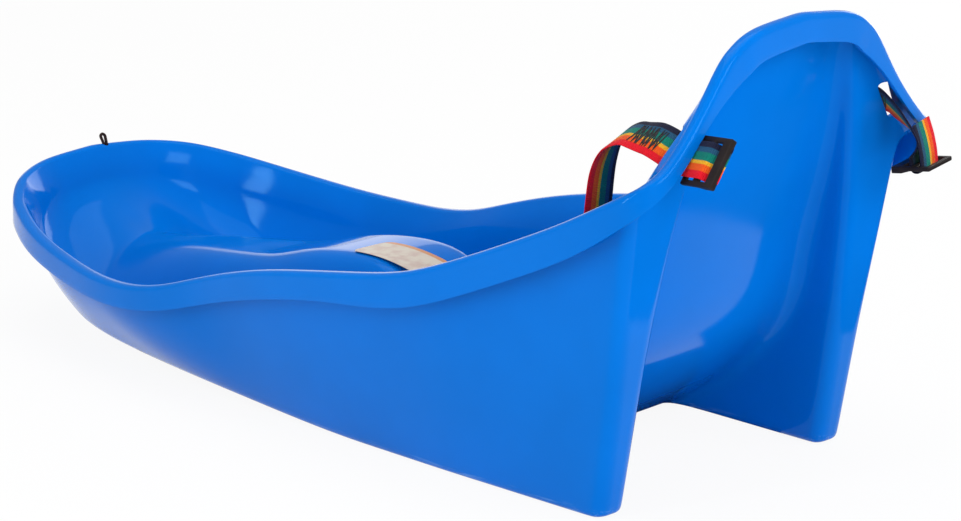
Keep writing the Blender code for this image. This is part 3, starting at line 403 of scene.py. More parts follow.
def turned(corner, before, after, radius, share):
    """Point at a share of the arc that rounds a corner in plan."""
    u = (corner - before).normalized()
    v = (after - corner).normalized()
    turn = math.acos(max(-1.0, min(1.0, u.dot(v))))
    reach = radius * math.tan(turn / 2)
    side = 1.0 if u.x * v.y - u.y * v.x > 0 else -1.0
    centre = corner - u * reach + Vector((-u.y, u.x)) * side * radius
    angle = side * turn * share
    arm = (corner - u * reach) - centre
    return centre + Vector((arm.x * math.cos(angle) - arm.y * math.sin(angle),
                            arm.x * math.sin(angle) + arm.y * math.cos(angle)))


def floor_height(x, y):
    """Underside of the floor and of the soles: rocker, step between the runners, middle ridge."""
    ahead = max(0.0, (-y - ROCKER_START) / ROCKER_RUN)
    sole = ROCKER_LIFT * ahead ** ROCKER_POWER
    fade = 1 - ease((-y - RUNNER_STEP_END) / RUNNER_STEP_FADE)
    edge = BACKREST_EDGE_X[0][1]
    step = RUNNER_STEP * fade * (1 - ease((abs(x) - edge + RUNNER_INSET) / RUNNER_RUN))
    base = sole + step
    ridge = smooth(RIDGE_LINE, y)
    top = smooth(RIDGE_TOP_X, y)
    foot = smooth(RIDGE_FOOT_X, y)
    share = 1 - ease((abs(x) - top) / (foot - top))
    return base + max(0.0, ridge - base) * share


def heel_plan(z):
    """Corners in plan of the backrest and heel walls at a height, from the middle outwards."""
    rear = HEEL_FACE_Y + HEEL_LEAN * z
    edge = Vector((smooth(BACKREST_EDGE_X, z), smooth(BACKREST_EDGE_Y, z)))
    inner = Vector((smooth(HEEL_INNER_X, z), rear))
    outer = Vector((smooth(HEEL_OUTER_X, z), rear))
    return edge, inner, outer


def side_x(z):
    """Half-width of the heel's outer wall where the side wall starts."""
    top = SIDE_HEAD.z
    t = min(1.0, z / top)
    return SOLE_SIDE[0][0] + (SIDE_HEAD.x - SOLE_SIDE[0][0]) * (1 - (1 - t) ** SIDE_CURVE)


def heel_point(station, z):
    """Place in plan of one upright line of the backrest or heel walls, at a height."""
    kind, share = station
    edge, inner, outer = heel_plan(z)
    middle = Vector((0.0, edge.y))
    front = Vector((side_x(z), -SIDE_START))
    gap = (inner - edge).length
    bend = min(PANEL_CORNER_RADIUS, PANEL_CORNER_SHARE * gap)
    corner = min(HEEL_CORNER_RADIUS, HEEL_CORNER_SHARE * gap, HEEL_CORNER_SHARE * (outer - inner).length)
    panel_corner = (edge, middle, inner, bend)
    inner_corner = (inner, edge, outer, corner)
    outer_corner = (outer, inner, front, corner)
    if kind == "panel":
        spot = middle.lerp(edge, share)
    elif kind == "panel_corner":
        spot = turned(*panel_corner, share)
    elif kind == "inner_wall":
        spot = turned(*panel_corner, 1.0).lerp(turned(*inner_corner, 0.0), share)
    elif kind == "inner_corner":
        spot = turned(*inner_corner, share)
    elif kind == "rear_face":
        spot = turned(*inner_corner, 1.0).lerp(turned(*outer_corner, 0.0), share)
    elif kind == "outer_corner":
        spot = turned(*outer_corner, share)
    else:
        spot = turned(*outer_corner, 1.0).lerp(front, share)
    if kind.startswith("panel"):
        spot.y += BACKREST_CROWN * (1 - min(1.0, spot.x / edge.x) ** 2)
    return spot


# Upright lines of the shell, from the middle of the back round to the side wall: (kind, share of it)
PANEL = [("panel", s) for s in PANEL_STATIONS] + [("panel_corner", 0.0), ("panel_corner", 0.5)]
INNER = [("panel_corner", 1.0), ("inner_wall", 0.33), ("inner_wall", 0.67), ("inner_corner", 0.0),
         ("inner_corner", 0.25), ("inner_corner", 0.5)]
REAR = [("inner_corner", 0.75), ("inner_corner", 1.0), ("rear_face", 0.25), ("rear_face", 0.5),
        ("rear_face", 0.75), ("outer_corner", 0.0), ("outer_corner", 0.25), ("outer_corner", 0.5)]
OUTER = [("outer_corner", 0.75), ("outer_corner", 1.0), ("outer_wall", 0.25), ("outer_wall", 0.50),
         ("outer_wall", 0.75), ("outer_wall", 1.0)]

# Shares of each part of the rim that the upright lines reach
PANEL_RIM = (0.19, 0.36, 0.52, 0.66, 0.79, 0.91, 1.0)
REAR_RIM = (0.07, 0.16, 0.34, 0.52, 0.70, 0.86, 0.93, 1.0)
OUTER_RIM = (0.04, 0.08, 0.30, 0.53, 0.76, 1.0)
PANEL_RIM_END = 0.055 * GROWTH["x"]   # half-width on the rim where the backrest ends
INNER_RIM_END = 0.068 * GROWTH["x"]   # half-width on the rim where the heel's inner wall ends


def build_rim():
    """Rim points at the upright lines, split where the walls below change."""
    path = curve_through(RIM_BACK + RIM_CORNER + RIM_SIDE + RIM_BOW + RIM_NOSE, RIM_SAMPLES)
    corner = len(RIM_BACK) * RIM_SAMPLES
    bow = (len(RIM_BACK) + 1 + len(RIM_SIDE)) * RIM_SAMPLES
    panel = next(i for i, p in enumerate(path) if p.x >= PANEL_RIM_END)
    inner = next(i for i, p in enumerate(path) if p.x >= INNER_RIM_END)
    side = next(i for i, p in enumerate(path) if p.y <= -SIDE_START)
    points = [path[0]]
    points += spread(path[:panel + 1], PANEL_RIM)
    points += spread(path[panel:inner + 1], even(len(INNER)))
    points += spread(path[inner:corner + 1], REAR_RIM)
    points += spread(path[corner:side + 1], OUTER_RIM)
    points += spread(path[side:bow + 1], even(SIDE_SEGMENTS))
    points += spread(path[bow:], even(len(PANEL) - 1 + len(REAR)))
    return points


RIM = build_rim()
COLUMNS = len(RIM)
HEEL_COLUMNS = len(PANEL) + len(INNER) + len(REAR) + len(OUTER)


def rim_frame(i):
    """Rim point, outward and upward directions, skirt depth and reach, at one upright line."""
    if i == 0:
        along = Vector((1, 0, 0))
    elif i == COLUMNS - 1:
        along = Vector((-1, 0, 0))
    else:
        along = (RIM[i + 1] - RIM[i - 1]).xyz.normalized()
    outward = Vector((-along.y, along.x, 0)).normalized()
    upward = along.cross(outward).normalized()
    if upward.z < 0:
        upward = -upward
    return RIM[i].xyz, outward, upward, RIM[i][3], RIM[i][4]


def head_point(i):
    """Where the wall of one upright line starts to roll out to the rim."""
    rim, outward = rim_frame(i)[:2]
    head = rim - outward * SHOULDER_IN
    head.z -= SHOULDER_DROP
    return head


SIDE_HEAD = head_point(HEEL_COLUMNS - 1)


def sole_points():
    """Sharp lower edge of the walls, from where the side wall starts to the middle of the bow."""
    side = curve_through([Vector((x, y)) for x, y in SOLE_SIDE + SOLE_BOW], RIM_SAMPLES)
    turn = (len(SOLE_SIDE) - 1) * RIM_SAMPLES
    bow = side[turn:]
    return spread(side[:turn + 1], even(SIDE_SEGMENTS)) + spread(bow, even(len(PANEL) - 1 + len(REAR)))


SOLE = [heel_point(s, 0.0) for s in PANEL + INNER + REAR + OUTER] + sole_points()


def inward(i):
    """Direction in plan from the sole's edge to the floor, at one upright line."""
    if i == 0:
        return Vector((0, -1))
    if i == COLUMNS - 1:
        return Vector((0, 1))
    along = (SOLE[i + 1] - SOLE[i - 1]).normalized()
    return Vector((along.y, -along.x))


def fillet_run(i):
    """How far the floor's rounding reaches in from the sole's sharp edge."""
    if i < len(PANEL):
        share = SOLE[i].x / SOLE[len(PANEL) - 1].x
        return SOLE_FILLET + (PANEL_FILLET - SOLE_FILLET) * (1 - share ** PANEL_FILLET_POWER)
    start = HEEL_COLUMNS + SIDE_SEGMENTS - BOW_FILLET_LEAD
    if i < start:
        return SOLE_FILLET
    share = (i - start) / (COLUMNS - start)
    return SOLE_FILLET + (BOW_FILLET - SOLE_FILLET) * ease(2 * share)


def wall_point(i, t):
    """Point of one wall line at a share of the height from the floor to the rim's shoulder."""
    sole = SOLE[i]
    low = floor_height(sole.x, sole.y)
    head = head_point(i)
    z = low + (head.z - low) * t
    if i < HEEL_COLUMNS:
        station = (PANEL + INNER + REAR + OUTER)[i]
        spot = heel_point(station, z)
        return Vector((spot.x, spot.y, z))
    forward = (i - HEEL_COLUMNS) / (COLUMNS - 1 - HEEL_COLUMNS)
    power = SIDE_CURVE + (BOW_CURVE - SIDE_CURVE) * ease(BOW_CURVE_RATE * forward)
    spot = sole.lerp(head.xy, 1 - (1 - t) ** power)
    return Vector((spot.x, spot.y, z))


def bend(a, b, c, t):
    """Point on the curve from a to c that leaves towards b and arrives from it."""
    return a * (1 - t) ** 2 + b * 2 * t * (1 - t) + c * t * t


def upright_line(i):
    """All points of one upright line of the shell's outside, from the sole to the skirt's edge."""
    sole = SOLE[i]
    run = fillet_run(i)
    inset = sole + inward(i) * run
    low = Vector((inset.x, inset.y, floor_height(inset.x, inset.y)))
    sharp = Vector((sole.x, sole.y, floor_height(sole.x, sole.y)))
    rise = min(SOLE_FILLET_SHARE, run / max(SOLE_FILLET_WALL, head_point(i).z - sharp.z))
    line = [bend(low, sharp, wall_point(i, rise), k / FILLET_ROWS) for k in range(FILLET_ROWS + 1)]
    line += [wall_point(i, rise + (1 - rise) * t) for t in WALL_ROWS]
    rim, outward, upward, drop, reach = rim_frame(i)
    head = line[-1]
    lean = (head - line[-2]).normalized()
    root = rim + outward * WALL - upward * (WALL + RIM_ROUND)
    pull = (root - head).length * FLARE_PULL
    line += [bend(head, head + lean * pull, root, (k + 1) / FLARE_ROWS) for k in range(FLARE_ROWS)]
    soft = RIM_ROUND_MIDDLE * RIM_ROUND
    edge = reach - WALL
    for out, down in ((WALL + soft, WALL + soft), (WALL + RIM_ROUND, WALL), (edge - RIM_ROUND, WALL),
                      (edge - soft, WALL + soft), (edge, WALL + RIM_ROUND), (edge, drop)):
        line.append(rim + outward * out - upward * down)
    return line


def grid_patch(bm, across, along, place):
    """A grid of quads whose corner (i, j) lies at place(i, j)."""
    made = bmesh.ops.create_grid(bm, x_segments=across, y_segments=along, size=1.0)
    for vert in made["verts"]:
        i = round((vert.co.x + 1) / 2 * across)
        j = round((vert.co.y + 1) / 2 * along)
        vert.co = place(i, j)


def filled(bottom, top, left, right, i, j, across, along):
    """Point of a patch between four edge rows."""
    u = i / across
    v = j / along
    flat = bottom[i].lerp(top[i], v) + left[j].lerp(right[j], u)
    return flat - bottom[0].lerp(bottom[-1], u).lerp(top[0].lerp(top[-1], u), v)


def shell_half(bm):
    """Outside of the +X half of the shell: walls with rim, the heel's sole, and the floor."""
    lines = [upright_line(i) for i in range(COLUMNS)]
    grid_patch(bm, COLUMNS - 1, len(lines[0]) - 1, lambda i, j: lines[i][j])
    low = [line[0] for line in lines]
    panel_end = len(PANEL) - 1
    inner_end = panel_end + len(INNER)
    rear_end = inner_end + len(REAR)
    outer_end = rear_end + len(OUTER)
    side_end = outer_end + SIDE_SEGMENTS
    strip = len(REAR)
    lead = [low[panel_end].lerp(low[outer_end], j / strip) for j in range(strip + 1)]
    tail = low[inner_end:rear_end + 1]
    inner = low[panel_end:inner_end + 1]
    outer = list(reversed(low[rear_end:outer_end + 1]))

    def sole_spot(i, j):
        spot = filled(inner, outer, lead, tail, i, j, len(INNER), strip)
        return Vector((spot.x, spot.y, 0.0 if 0 < i and 0 < j < strip else spot.z))

    grid_patch(bm, len(INNER), strip, sole_spot)
    rear = low[:panel_end + 1] + lead[1:]
    nose = list(reversed(low[side_end:]))
    middle = [Vector((0.0, low[0].y + (low[-1].y - low[0].y) * k / SIDE_SEGMENTS, 0.0))
              for k in range(SIDE_SEGMENTS + 1)]
    side = low[outer_end:side_end + 1]

    def floor_spot(i, j):
        if j == 0:
            return rear[i]
        if j == SIDE_SEGMENTS:
            return nose[i]
        if i == len(rear) - 1:
            return side[j]
        spot = filled(rear, nose, middle, side, i, j, len(rear) - 1, SIDE_SEGMENTS)
        return Vector((spot.x, spot.y, floor_height(spot.x, spot.y)))

    grid_patch(bm, len(rear) - 1, SIDE_SEGMENTS, floor_spot)


def box(bm, low, high):
    """Add a box between two corners."""
    low = Vector(low)
    high = Vector(high)
    made = bmesh.ops.create_cube(bm, size=1.0)
    bmesh.ops.scale(bm, verts=made["verts"], vec=high - low)
    bmesh.ops.translate(bm, verts=made["verts"], vec=(low + high) / 2)


def swept(bm, path, ring):
    """Closed bar whose rings of corners follow a path."""
    rings = [ring(k) for k in range(len(path))]
    count = len(rings[0])
    grid_patch(bm, count, len(path) - 1, lambda i, j: rings[j][i % count])
    bmesh.ops.remove_doubles(bm, verts=bm.verts, dist=1e-6)
    ends = [e for e in bm.edges if e.is_boundary]
    bmesh.ops.holes_fill(bm, edges=ends, sides=count)
    bmesh.ops.recalc_face_normals(bm, faces=bm.faces)


def beside_slot(step):
    """Place that lies a step away from the slot, drawn on the +X side."""
    return Vector(SLOT) + Vector(step)


def from_slot(rows):
    """Belt points given as steps from the slot."""
    return [tuple(beside_slot(row[:3])) + row[3:] for row in rows]


def near_frame():
    """Frame of the clip on the +X side."""
    return clip_frame(beside_slot(NEAR_CLIP_STEP), NEAR_CLIP_ALONG, NEAR_CLIP_ACROSS)


def far_frame():
    """Frame of the clip on the -X side."""
    place = beside_slot(FAR_CLIP_STEP)
    place.x = -place.x
    return clip_frame(place, Vector(FAR_CLIP_UP).cross(Vector(FAR_CLIP_ACROSS)), FAR_CLIP_ACROSS)


def clip_frame(centre, along, across):
    """Middle of a ladder clip, and its directions along the belt, across it and out of its top."""
    across = Vector(across).normalized()
    along = Vector(along)
    along = (along - across * along.dot(across)).normalized()
    return Vector(centre), along, across, across.cross(along)


def woven_end(frame):
    """Belt end through a clip from behind: under the bars at its ends and over the middle one."""
    centre, along, across, top = frame
    under = CLIP_THICKNESS / 2 + FIT + BELT_THICKNESS / 2
    inner = CLIP_MIDDLE_BAR / 2 + FIT
    outer = CLIP_MIDDLE_BAR / 2 + CLIP_WINDOW - FIT
    behind = outer + CLIP_WIDE_BAR
    ahead = outer + CLIP_END_BAR
    lead = CLIP_THICKNESS / 2
    stations = [(behind + NEAR_TAIL, -under - FIT), (behind, -under), (outer, -under), (inner, under),
                (-inner, under), (-outer, under), (-ahead, under), (-ahead - NEAR_LEAD, lead)]
    return [tuple(centre + along * a + top * n) + tuple(across) for a, n in stations]


def looped_end(frame):
    """Belt end that hangs above a level clip, goes down through it, round its bar and up again."""
    centre, along, across, top = frame
    turn = CLIP_MIDDLE_BAR / 2 + BELT_THICKNESS / 2 + 2 * FIT
    lean = Vector(FAR_TAIL_LEAN)
    path = [centre - along * (turn + 3 * FIT) + top * FAR_TAIL + lean,
            centre - along * (turn + 2 * FIT) + top * FAR_TAIL * FAR_TAIL_BEND[0]
            + lean * FAR_TAIL_BEND[1],
            centre - along * turn + top * FAR_LOOP_RISE[0]]
    for k in range(TURN_STEPS + 1):
        angle = math.pi * (1 + k / TURN_STEPS)
        path.append(centre + along * turn * math.cos(angle) + top * turn * math.sin(angle))
    path.append(centre + along * turn + top * FAR_LOOP_RISE[1])
    return [tuple(p) + tuple(across) for p in path]


def buckle_height():
    """Middle of the buckle above the ground, lying on the seat floor."""
    highest = max(floor_height(0.0, BUCKLE_Y + s * BUCKLE_WIDTH / 2) for s in (-1, 1))
    return highest + WALL + FIT + BUCKLE_HEIGHT / 2


def bar_end(bar_x):
    """Belt down to a buckle bar, then its end that goes round the bar and lies back under the belt."""
    level = buckle_height()
    y = BUCKLE_Y
    out = bar_x + BELT_TAIL
    lower = level - BELT_TURN
    upper = lower + BELT_THICKNESS + FIT
    lead = [(out - BELT_LEAD[0], y, upper), (out - BELT_LEAD[1], y, level + BELT_LEAD_RISE),
            (bar_x + BELT_BAR_LEAD, y, level + BELT_TURN - BELT_FALL)]
    loop = []
    for k in range(TURN_STEPS + 1):
        angle = math.pi / 2 + math.pi * k / TURN_STEPS
        loop.append((bar_x + BELT_TURN * math.cos(angle), y, level + BELT_TURN * math.sin(angle)))
    loop += [(bar_x + BELT_TAIL / 3, y, lower), (out, y, lower)]
    return lead, loop


def belt_path(rear, bar_x):
    """Whole middle line of one belt half on the +X side, from its rear end to the buckle."""
    lead, loop = bar_end(bar_x)
    across = (0.0, -1.0, 0.0)
    route = rear + from_slot(SLOT_ROUTE) + BELT_ROUTE + [p + across for p in lead]
    return curve_through([Vector(p) for p in route], BELT_SAMPLES) + [Vector(p + across) for p in loop]


def mirrored(points):
    """The same points on the other side of the sled."""
    return [(-p[0], p[1], p[2], -p[3], p[4], p[5]) for p in points]


SOCKET_BAR_X = BUCKLE_MOUTH_X + SOCKET_LENGTH - BELT_BAR / 2
PLUG_BAR_X = -BUCKLE_MOUTH_X + PLUG_BASE - BELT_BAR / 2


def colour_setting(name, description, colour):
    """Colour that can be set in the panel."""
    return FloatVectorProperty(name=name, description=description, subtype="COLOR", size=3, min=0.0, max=1.0,
                               default=colour)


def power_setting(name, description, power):
    """Lamp power that can be set in the panel."""
    return FloatProperty(name=name, description=description, default=power, min=0.0, unit="POWER")


class SledShellSettings(PropertyGroup):
    """Finish and fineness of the moulded shell."""
    colour: colour_setting("Colour", "Moulded colour of the shell", (0.0, 0.158, 0.640))
    roughness: FloatProperty(name="Roughness", description="Roughness of the moulded surface",
                             default=0.09, min=0.02, max=1.0)
    edge_radius: FloatProperty(name="Edge radius", description="Rounding of the skirt's lower edge",
                               default=0.0008, min=0.0, max=0.0014, unit="LENGTH")
    levels: IntProperty(name="Levels", description="Subdivision levels of the shell", default=2, min=0, max=2)


class SledBeltSettings(PropertyGroup):
    """Webbing of the lap belt."""
    red: colour_setting("Red", "Outer stripe", (0.78, 0.004, 0.018))
    orange: colour_setting("Orange", "Second stripe", (0.88, 0.105, 0.008))
    yellow: colour_setting("Yellow", "Third stripe", (0.85, 0.42, 0.02))
    green: colour_setting("Green", "Fourth stripe", (0.0, 0.20, 0.15))
    blue: colour_setting("Blue", "Fifth stripe", (0.014, 0.085, 0.175))
    navy: colour_setting("Navy", "Inner stripe", (0.008, 0.010, 0.035))
    rib: FloatProperty(name="Rib", description="Distance between the webbing's ribs", default=0.0012,
                       min=0.0004, max=0.004, unit="LENGTH")


class SledHardwareSettings(PropertyGroup):
    """Clips, buckle and nose loop."""
    colour: colour_setting("Colour", "Black nylon of the clips and the buckle", (0.012, 0.008, 0.008))
    loop_colour: colour_setting("Loop colour", "Wire loop at the nose", (0.022, 0.010, 0.008))
    edge_radius: FloatProperty(name="Edge radius", description="Rounding of the clips' edges",
                               default=0.0007, min=0.0001, max=0.0012, unit="LENGTH")


class SledStickerSettings(PropertyGroup):
    """Blank sticker on the ridge."""
    colour: colour_setting("Colour", "Paper's ground", (0.60, 0.54, 0.46))
    band: colour_setting("Band", "Band along one side", (0.55, 0.25, 0.12))


class SledStageSettings(PropertyGroup):
    """Floor and light."""
    overhead: power_setting("Overhead", "Power of the softbox above", 15.0)
    key: power_setting("Key", "Power of the softbox behind the sled", 10.0)
    front: power_setting("Front", "Power of the softbox by the camera", 14.0)
    spot: power_setting("Spot", "Power of the softbox high behind the rim", 13.0)
    fill: power_setting("Fill", "Power of the narrow softbox beside the sled", 18.0)
    low: power_setting("Low", "Power of the low softbox beyond the nose", 4.0)
    side: power_setting("Side", "Power of the softbox on the far side", 12.0)
    room: FloatProperty(name="Room", description="Strength of the room's own light", default=0.45, min=0.0)
    floor: colour_setting("Floor", "Floor's colour", (0.88, 0.88, 0.88))


def settings():
    """All settings of the open scene."""
    return bpy.context.scene.toddler_sled


def new_material(name):
    """New material, with its node tree and its Principled shader."""
    finish = bpy.data.materials.new(name)
    finish.use_nodes = True
    tree = finish.node_tree
    shader = tree.nodes["Principled BSDF"]
    return finish, tree, shader


def link(tree, start, end):
    """Join two sockets."""
    tree.links.new(start, end)


def add_node(tree, kind, **values):
    """Shader node with some of its own settings."""
    made = tree.nodes.new(kind)
    for name, value in values.items():
        setattr(made, name, value)
    return made


def object_place(tree):
    """Place in the object's own frame."""
    return add_node(tree, "ShaderNodeTexCoord").outputs["Object"]


def axes_of(tree, source):
    """The three numbers of a coordinate."""
    split = add_node(tree, "ShaderNodeSeparateXYZ")
    link(tree, source, split.inputs[0])
    return split.outputs


def noise_node(tree, source, scale, detail=2.0, stretch=None):
    """Noise over a coordinate, stretched if asked."""
    noise = add_node(tree, "ShaderNodeTexNoise")
    noise.inputs["Scale"].default_value = scale
    noise.inputs["Detail"].default_value = detail
    if stretch:
        mapping = add_node(tree, "ShaderNodeMapping")
        mapping.inputs["Scale"].default_value = stretch
        link(tree, source, mapping.inputs["Vector"])
        source = mapping.outputs["Vector"]
    link(tree, source, noise.inputs["Vector"])
    return noise.outputs["Fac"]


def ranged(tree, value, low, high, to_low, to_high):
    """Value mapped from one range to another, clamped."""
    made = add_node(tree, "ShaderNodeMapRange")
    made.inputs["From Min"].default_value = low
    made.inputs["From Max"].default_value = high
    made.inputs["To Min"].default_value = to_low
    made.inputs["To Max"].default_value = to_high
    link(tree, value, made.inputs["Value"])
    return made.outputs["Result"]


def feed(tree, socket, value):
    """Give a socket its value, which is a number, a colour or another socket."""
    if isinstance(value, bpy.types.NodeSocket):
        link(tree, value, socket)
    else:
        socket.default_value = value


def mixed(tree, factor, first, second, blend="MIX"):
    """Colour from two colours, each a socket or a colour."""
    made = add_node(tree, "ShaderNodeMix", data_type="RGBA", blend_type=blend)
    for socket, value in zip((made.inputs[n] for n in COLOUR_MIX_INPUTS), (factor, first, second)):
        feed(tree, socket, value)
    return made.outputs[COLOUR_MIX_OUTPUT]


def maths(tree, operation, first, second=0.0):
    """One sum on sockets or numbers."""
    made = add_node(tree, "ShaderNodeMath", operation=operation)
    feed(tree, made.inputs[0], first)
    feed(tree, made.inputs[1], second)
    return made.outputs[0]


def bumped(tree, height, distance, strength, shader):
    """Bump from a height into a shader's normal."""
    made = add_node(tree, "ShaderNodeBump")
    made.inputs["Strength"].default_value = strength
    made.inputs["Distance"].default_value = distance
    link(tree, height, made.inputs["Height"])
    link(tree, made.outputs["Normal"], shader.inputs["Normal"])


def opaque(colour):
    """Colour with full alpha."""
    return (*colour, 1.0)


def plastic_material():
    """Glossy moulded polyethylene with a faint grain, uneven gloss and scuffed soles."""
    sizes = settings().shell
    finish, tree, shader = new_material("blue_polyethylene")
    place = object_place(tree)
    base = opaque(sizes.colour)
    deeper = opaque([c * SHELL_DEEPER for c in sizes.colour])
    cloud = noise_node(tree, place, 9.0, 3.0)
    colour = mixed(tree, ranged(tree, cloud, 0.35, 0.65, 0.0, 1.0), base, deeper)
    low = ranged(tree, axes_of(tree, place)[2], *SCUFF_HEIGHT, 1.0, 0.0)
    streaks = noise_node(tree, place, 60.0, 4.0, (9.0, 0.8, 9.0))
    scuff = maths(tree, "MULTIPLY", low, ranged(tree, streaks, 0.52, 0.68, 0.0, 0.55))
    link(tree, mixed(tree, scuff, colour, SCUFF_COLOUR), shader.inputs["Base Color"])
    gloss = noise_node(tree, place, 14.0, 4.0)
    rough = ranged(tree, gloss, 0.3, 0.7, sizes.roughness - 0.02, sizes.roughness + 0.03)
    rough = maths(tree, "ADD", rough, maths(tree, "MULTIPLY", scuff, 0.35))
    link(tree, rough, shader.inputs["Roughness"])
    shader.inputs["Specular IOR Level"].default_value = SHELL_SPECULAR
    shader.inputs["Specular Tint"].default_value = SHELL_GLOSS_TINT
    grain = noise_node(tree, place, 420.0, 2.0)
    wave = noise_node(tree, place, 26.0, 1.0)
    height = maths(tree, "ADD", maths(tree, "MULTIPLY", grain, 0.05), wave)
    bumped(tree, height, 0.0006, 0.12, shader)
    return finish


def webbing_material(name):
    """Ribbed webbing with stripes along it and painted shade in its weave, from the belt's own UV map: across
    it, then along it.
    """
    sizes = settings().belt
    finish, tree, shader = new_material(name)
    uv = add_node(tree, "ShaderNodeUVMap", uv_map="belt").outputs["UV"]
    across, along = axes_of(tree, uv)[:2]
    ribs = BELT_WIDTH / sizes.rib
    strands = BELT_WIDTH / STRAND
    rib_wave = maths(tree, "SINE", maths(tree, "MULTIPLY", along, 2 * math.pi * ribs))
    strand_wave = maths(tree, "SINE", maths(tree, "MULTIPLY", across, 2 * math.pi * strands))
    jitter = noise_node(tree, uv, 90.0, 2.0)
    edge = maths(tree, "MULTIPLY", maths(tree, "SUBTRACT", jitter, 0.5), 0.03)
    edge = maths(tree, "ADD", edge, maths(tree, "MULTIPLY", rib_wave, 0.006))
    ramp = add_node(tree, "ShaderNodeValToRGB")
    ramp.color_ramp.interpolation = "CONSTANT"
    while len(ramp.color_ramp.elements) < len(STRIPE_STARTS):
        ramp.color_ramp.elements.new(0.5)
    for element, (stripe, start) in zip(ramp.color_ramp.elements, STRIPE_STARTS):
        element.position = start
        element.color = opaque(getattr(sizes, stripe))
    link(tree, maths(tree, "ADD", across, edge), ramp.inputs["Fac"])
    # Painted shade and highlight of the weave: the stripes are darkened where the rib and strand waves are
    # out of step, and lightened a little where they agree
    weave_shade = ranged(tree, maths(tree, "MULTIPLY", rib_wave, strand_wave), -1.0, 1.0, 0.62, 1.08)
    link(tree, mixed(tree, 1.0, ramp.outputs["Color"], weave_shade, "MULTIPLY"), shader.inputs["Base Color"])
    shader.inputs["Roughness"].default_value = 0.68
    shader.inputs["Specular IOR Level"].default_value = 0.15
    shader.inputs["Sheen Weight"].default_value = 0.06
    shader.inputs["Sheen Roughness"].default_value = 0.4
    ribbed = maths(tree, "MULTIPLY", rib_wave, 0.6)
    height = maths(tree, "ADD", ribbed, maths(tree, "MULTIPLY", strand_wave, 0.4))
    bumped(tree, height, 0.00022, 0.8, shader)
    return finish


def nylon_material(name, colour, roughness):
    """Moulded black nylon with a fine spark-eroded texture and greyer wear."""
    finish, tree, shader = new_material(name)
    place = object_place(tree)
    patch = noise_node(tree, place, 90.0, 4.0)
    worn = opaque([c * 1.6 + 0.002 for c in colour])
    link(tree, mixed(tree, ranged(tree, patch, 0.45, 0.75, 0.0, 1.0), opaque(colour), worn),
         shader.inputs["Base Color"])
    link(tree, ranged(tree, patch, 0.3, 0.7, roughness - 0.06, roughness + 0.08), shader.inputs["Roughness"])
    shader.inputs["Specular IOR Level"].default_value = 0.18
    bumped(tree, noise_node(tree, place, 2600.0, 2.0), 0.0001, 0.5, shader)
    return finish


def thread_material():
    """Black sewing thread with a twist."""
    finish, tree, shader = new_material("black_thread")
    place = object_place(tree)
    twist = noise_node(tree, place, 3000.0, 2.0)
    link(tree, mixed(tree, twist, *THREAD_COLOURS), shader.inputs["Base Color"])
    shader.inputs["Roughness"].default_value = 0.7
    return finish


def sticker_material():
    """Blank stained paper with a band along one long side, from the sticker's own UV map."""
    sizes = settings().sticker
    finish, tree, shader = new_material("blank_sticker")
    across = axes_of(tree, add_node(tree, "ShaderNodeUVMap", uv_map="sticker").outputs["UV"])[0]
    place = object_place(tree)
    stain = noise_node(tree, place, 110.0, 4.0)
    faded = opaque([c * fade for c, fade in zip(sizes.colour, STICKER_FADE)])
    ground = mixed(tree, ranged(tree, stain, 0.42, 0.62, 0.0, 0.8), opaque(sizes.colour), faded)
    band = ranged(tree, across, *STICKER_BAND, 1.0, 0.0)
    link(tree, mixed(tree, band, ground, opaque(sizes.band)), shader.inputs["Base Color"])
    shader.inputs["Roughness"].default_value = 0.42
    bumped(tree, noise_node(tree, place, 900.0, 2.0), 0.0001, 0.2, shader)
    return finish


def plain_body(name, bm):
    """Bare object at the origin from a bmesh."""
    mesh = bpy.data.meshes.new(name)
    bm.to_mesh(mesh)
    bm.free()
    body = bpy.data.objects.new(name, mesh)
    bpy.context.scene.collection.objects.link(body)
    return body


def shade(mesh, sharp):
    """Smooth a mesh but for the edges above an angle in degrees."""
    mesh.shade_smooth()
    mesh.set_sharp_from_angle(angle=math.radians(sharp))


def finish_piece(name, bm, finish, sharp=35.0):
    """Object with its finish from a bmesh, smooth but for its sharp edges."""
    piece = plain_body(name, bm)
    piece.data.materials.append(finish)
    shade(piece.data, sharp)
    return piece


def cut(piece, cutter):
    """Cut a body out of a piece."""
    modifier = piece.modifiers.new(cutter.name, "BOOLEAN")
    modifier.operation = "DIFFERENCE"
    modifier.solver = "EXACT"
    modifier.object = cutter


def settle(piece, helpers, sharp=35.0):
    """Apply every modifier of a piece, then remove the bodies that they used."""
    bpy.context.view_layer.update()
    graph = bpy.context.evaluated_depsgraph_get()
    mesh = bpy.data.meshes.new_from_object(piece.evaluated_get(graph), depsgraph=graph)
    old = piece.data
    piece.modifiers.clear()
    piece.data = mesh
    bpy.data.meshes.remove(old)
    mesh.name = piece.name
    shade(mesh, sharp)
    for body in helpers:
        bpy.data.objects.remove(body, do_unlink=True)


def slot_body(name, side):
    """Rounded bar along the belt's way through one slot."""
    bm = bmesh.new()
    box(bm, (-SLOT_LENGTH / 2, -SLOT_CUT, -SLOT_WIDTH / 2), (SLOT_LENGTH / 2, SLOT_CUT, SLOT_WIDTH / 2))
    corners = [e for e in bm.edges if abs(e.verts[0].co.y - e.verts[1].co.y) > SLOT_CUT]
    bmesh.ops.bevel(bm, geom=corners, offset=SLOT_WIDTH * SLOT_ROUND, segments=6, profile=0.5,
                    affect="EDGES", material=-1)
    bmesh.ops.rotate(bm, verts=bm.verts, cent=(0, 0, 0), matrix=Matrix.Rotation(side * SLOT_TILT, 3, "Y"))
    bmesh.ops.translate(bm, verts=bm.verts, vec=(side * SLOT[0], SLOT[1] + HEEL_LINE_Y, SLOT[2]))
    return plain_body(name, bm)


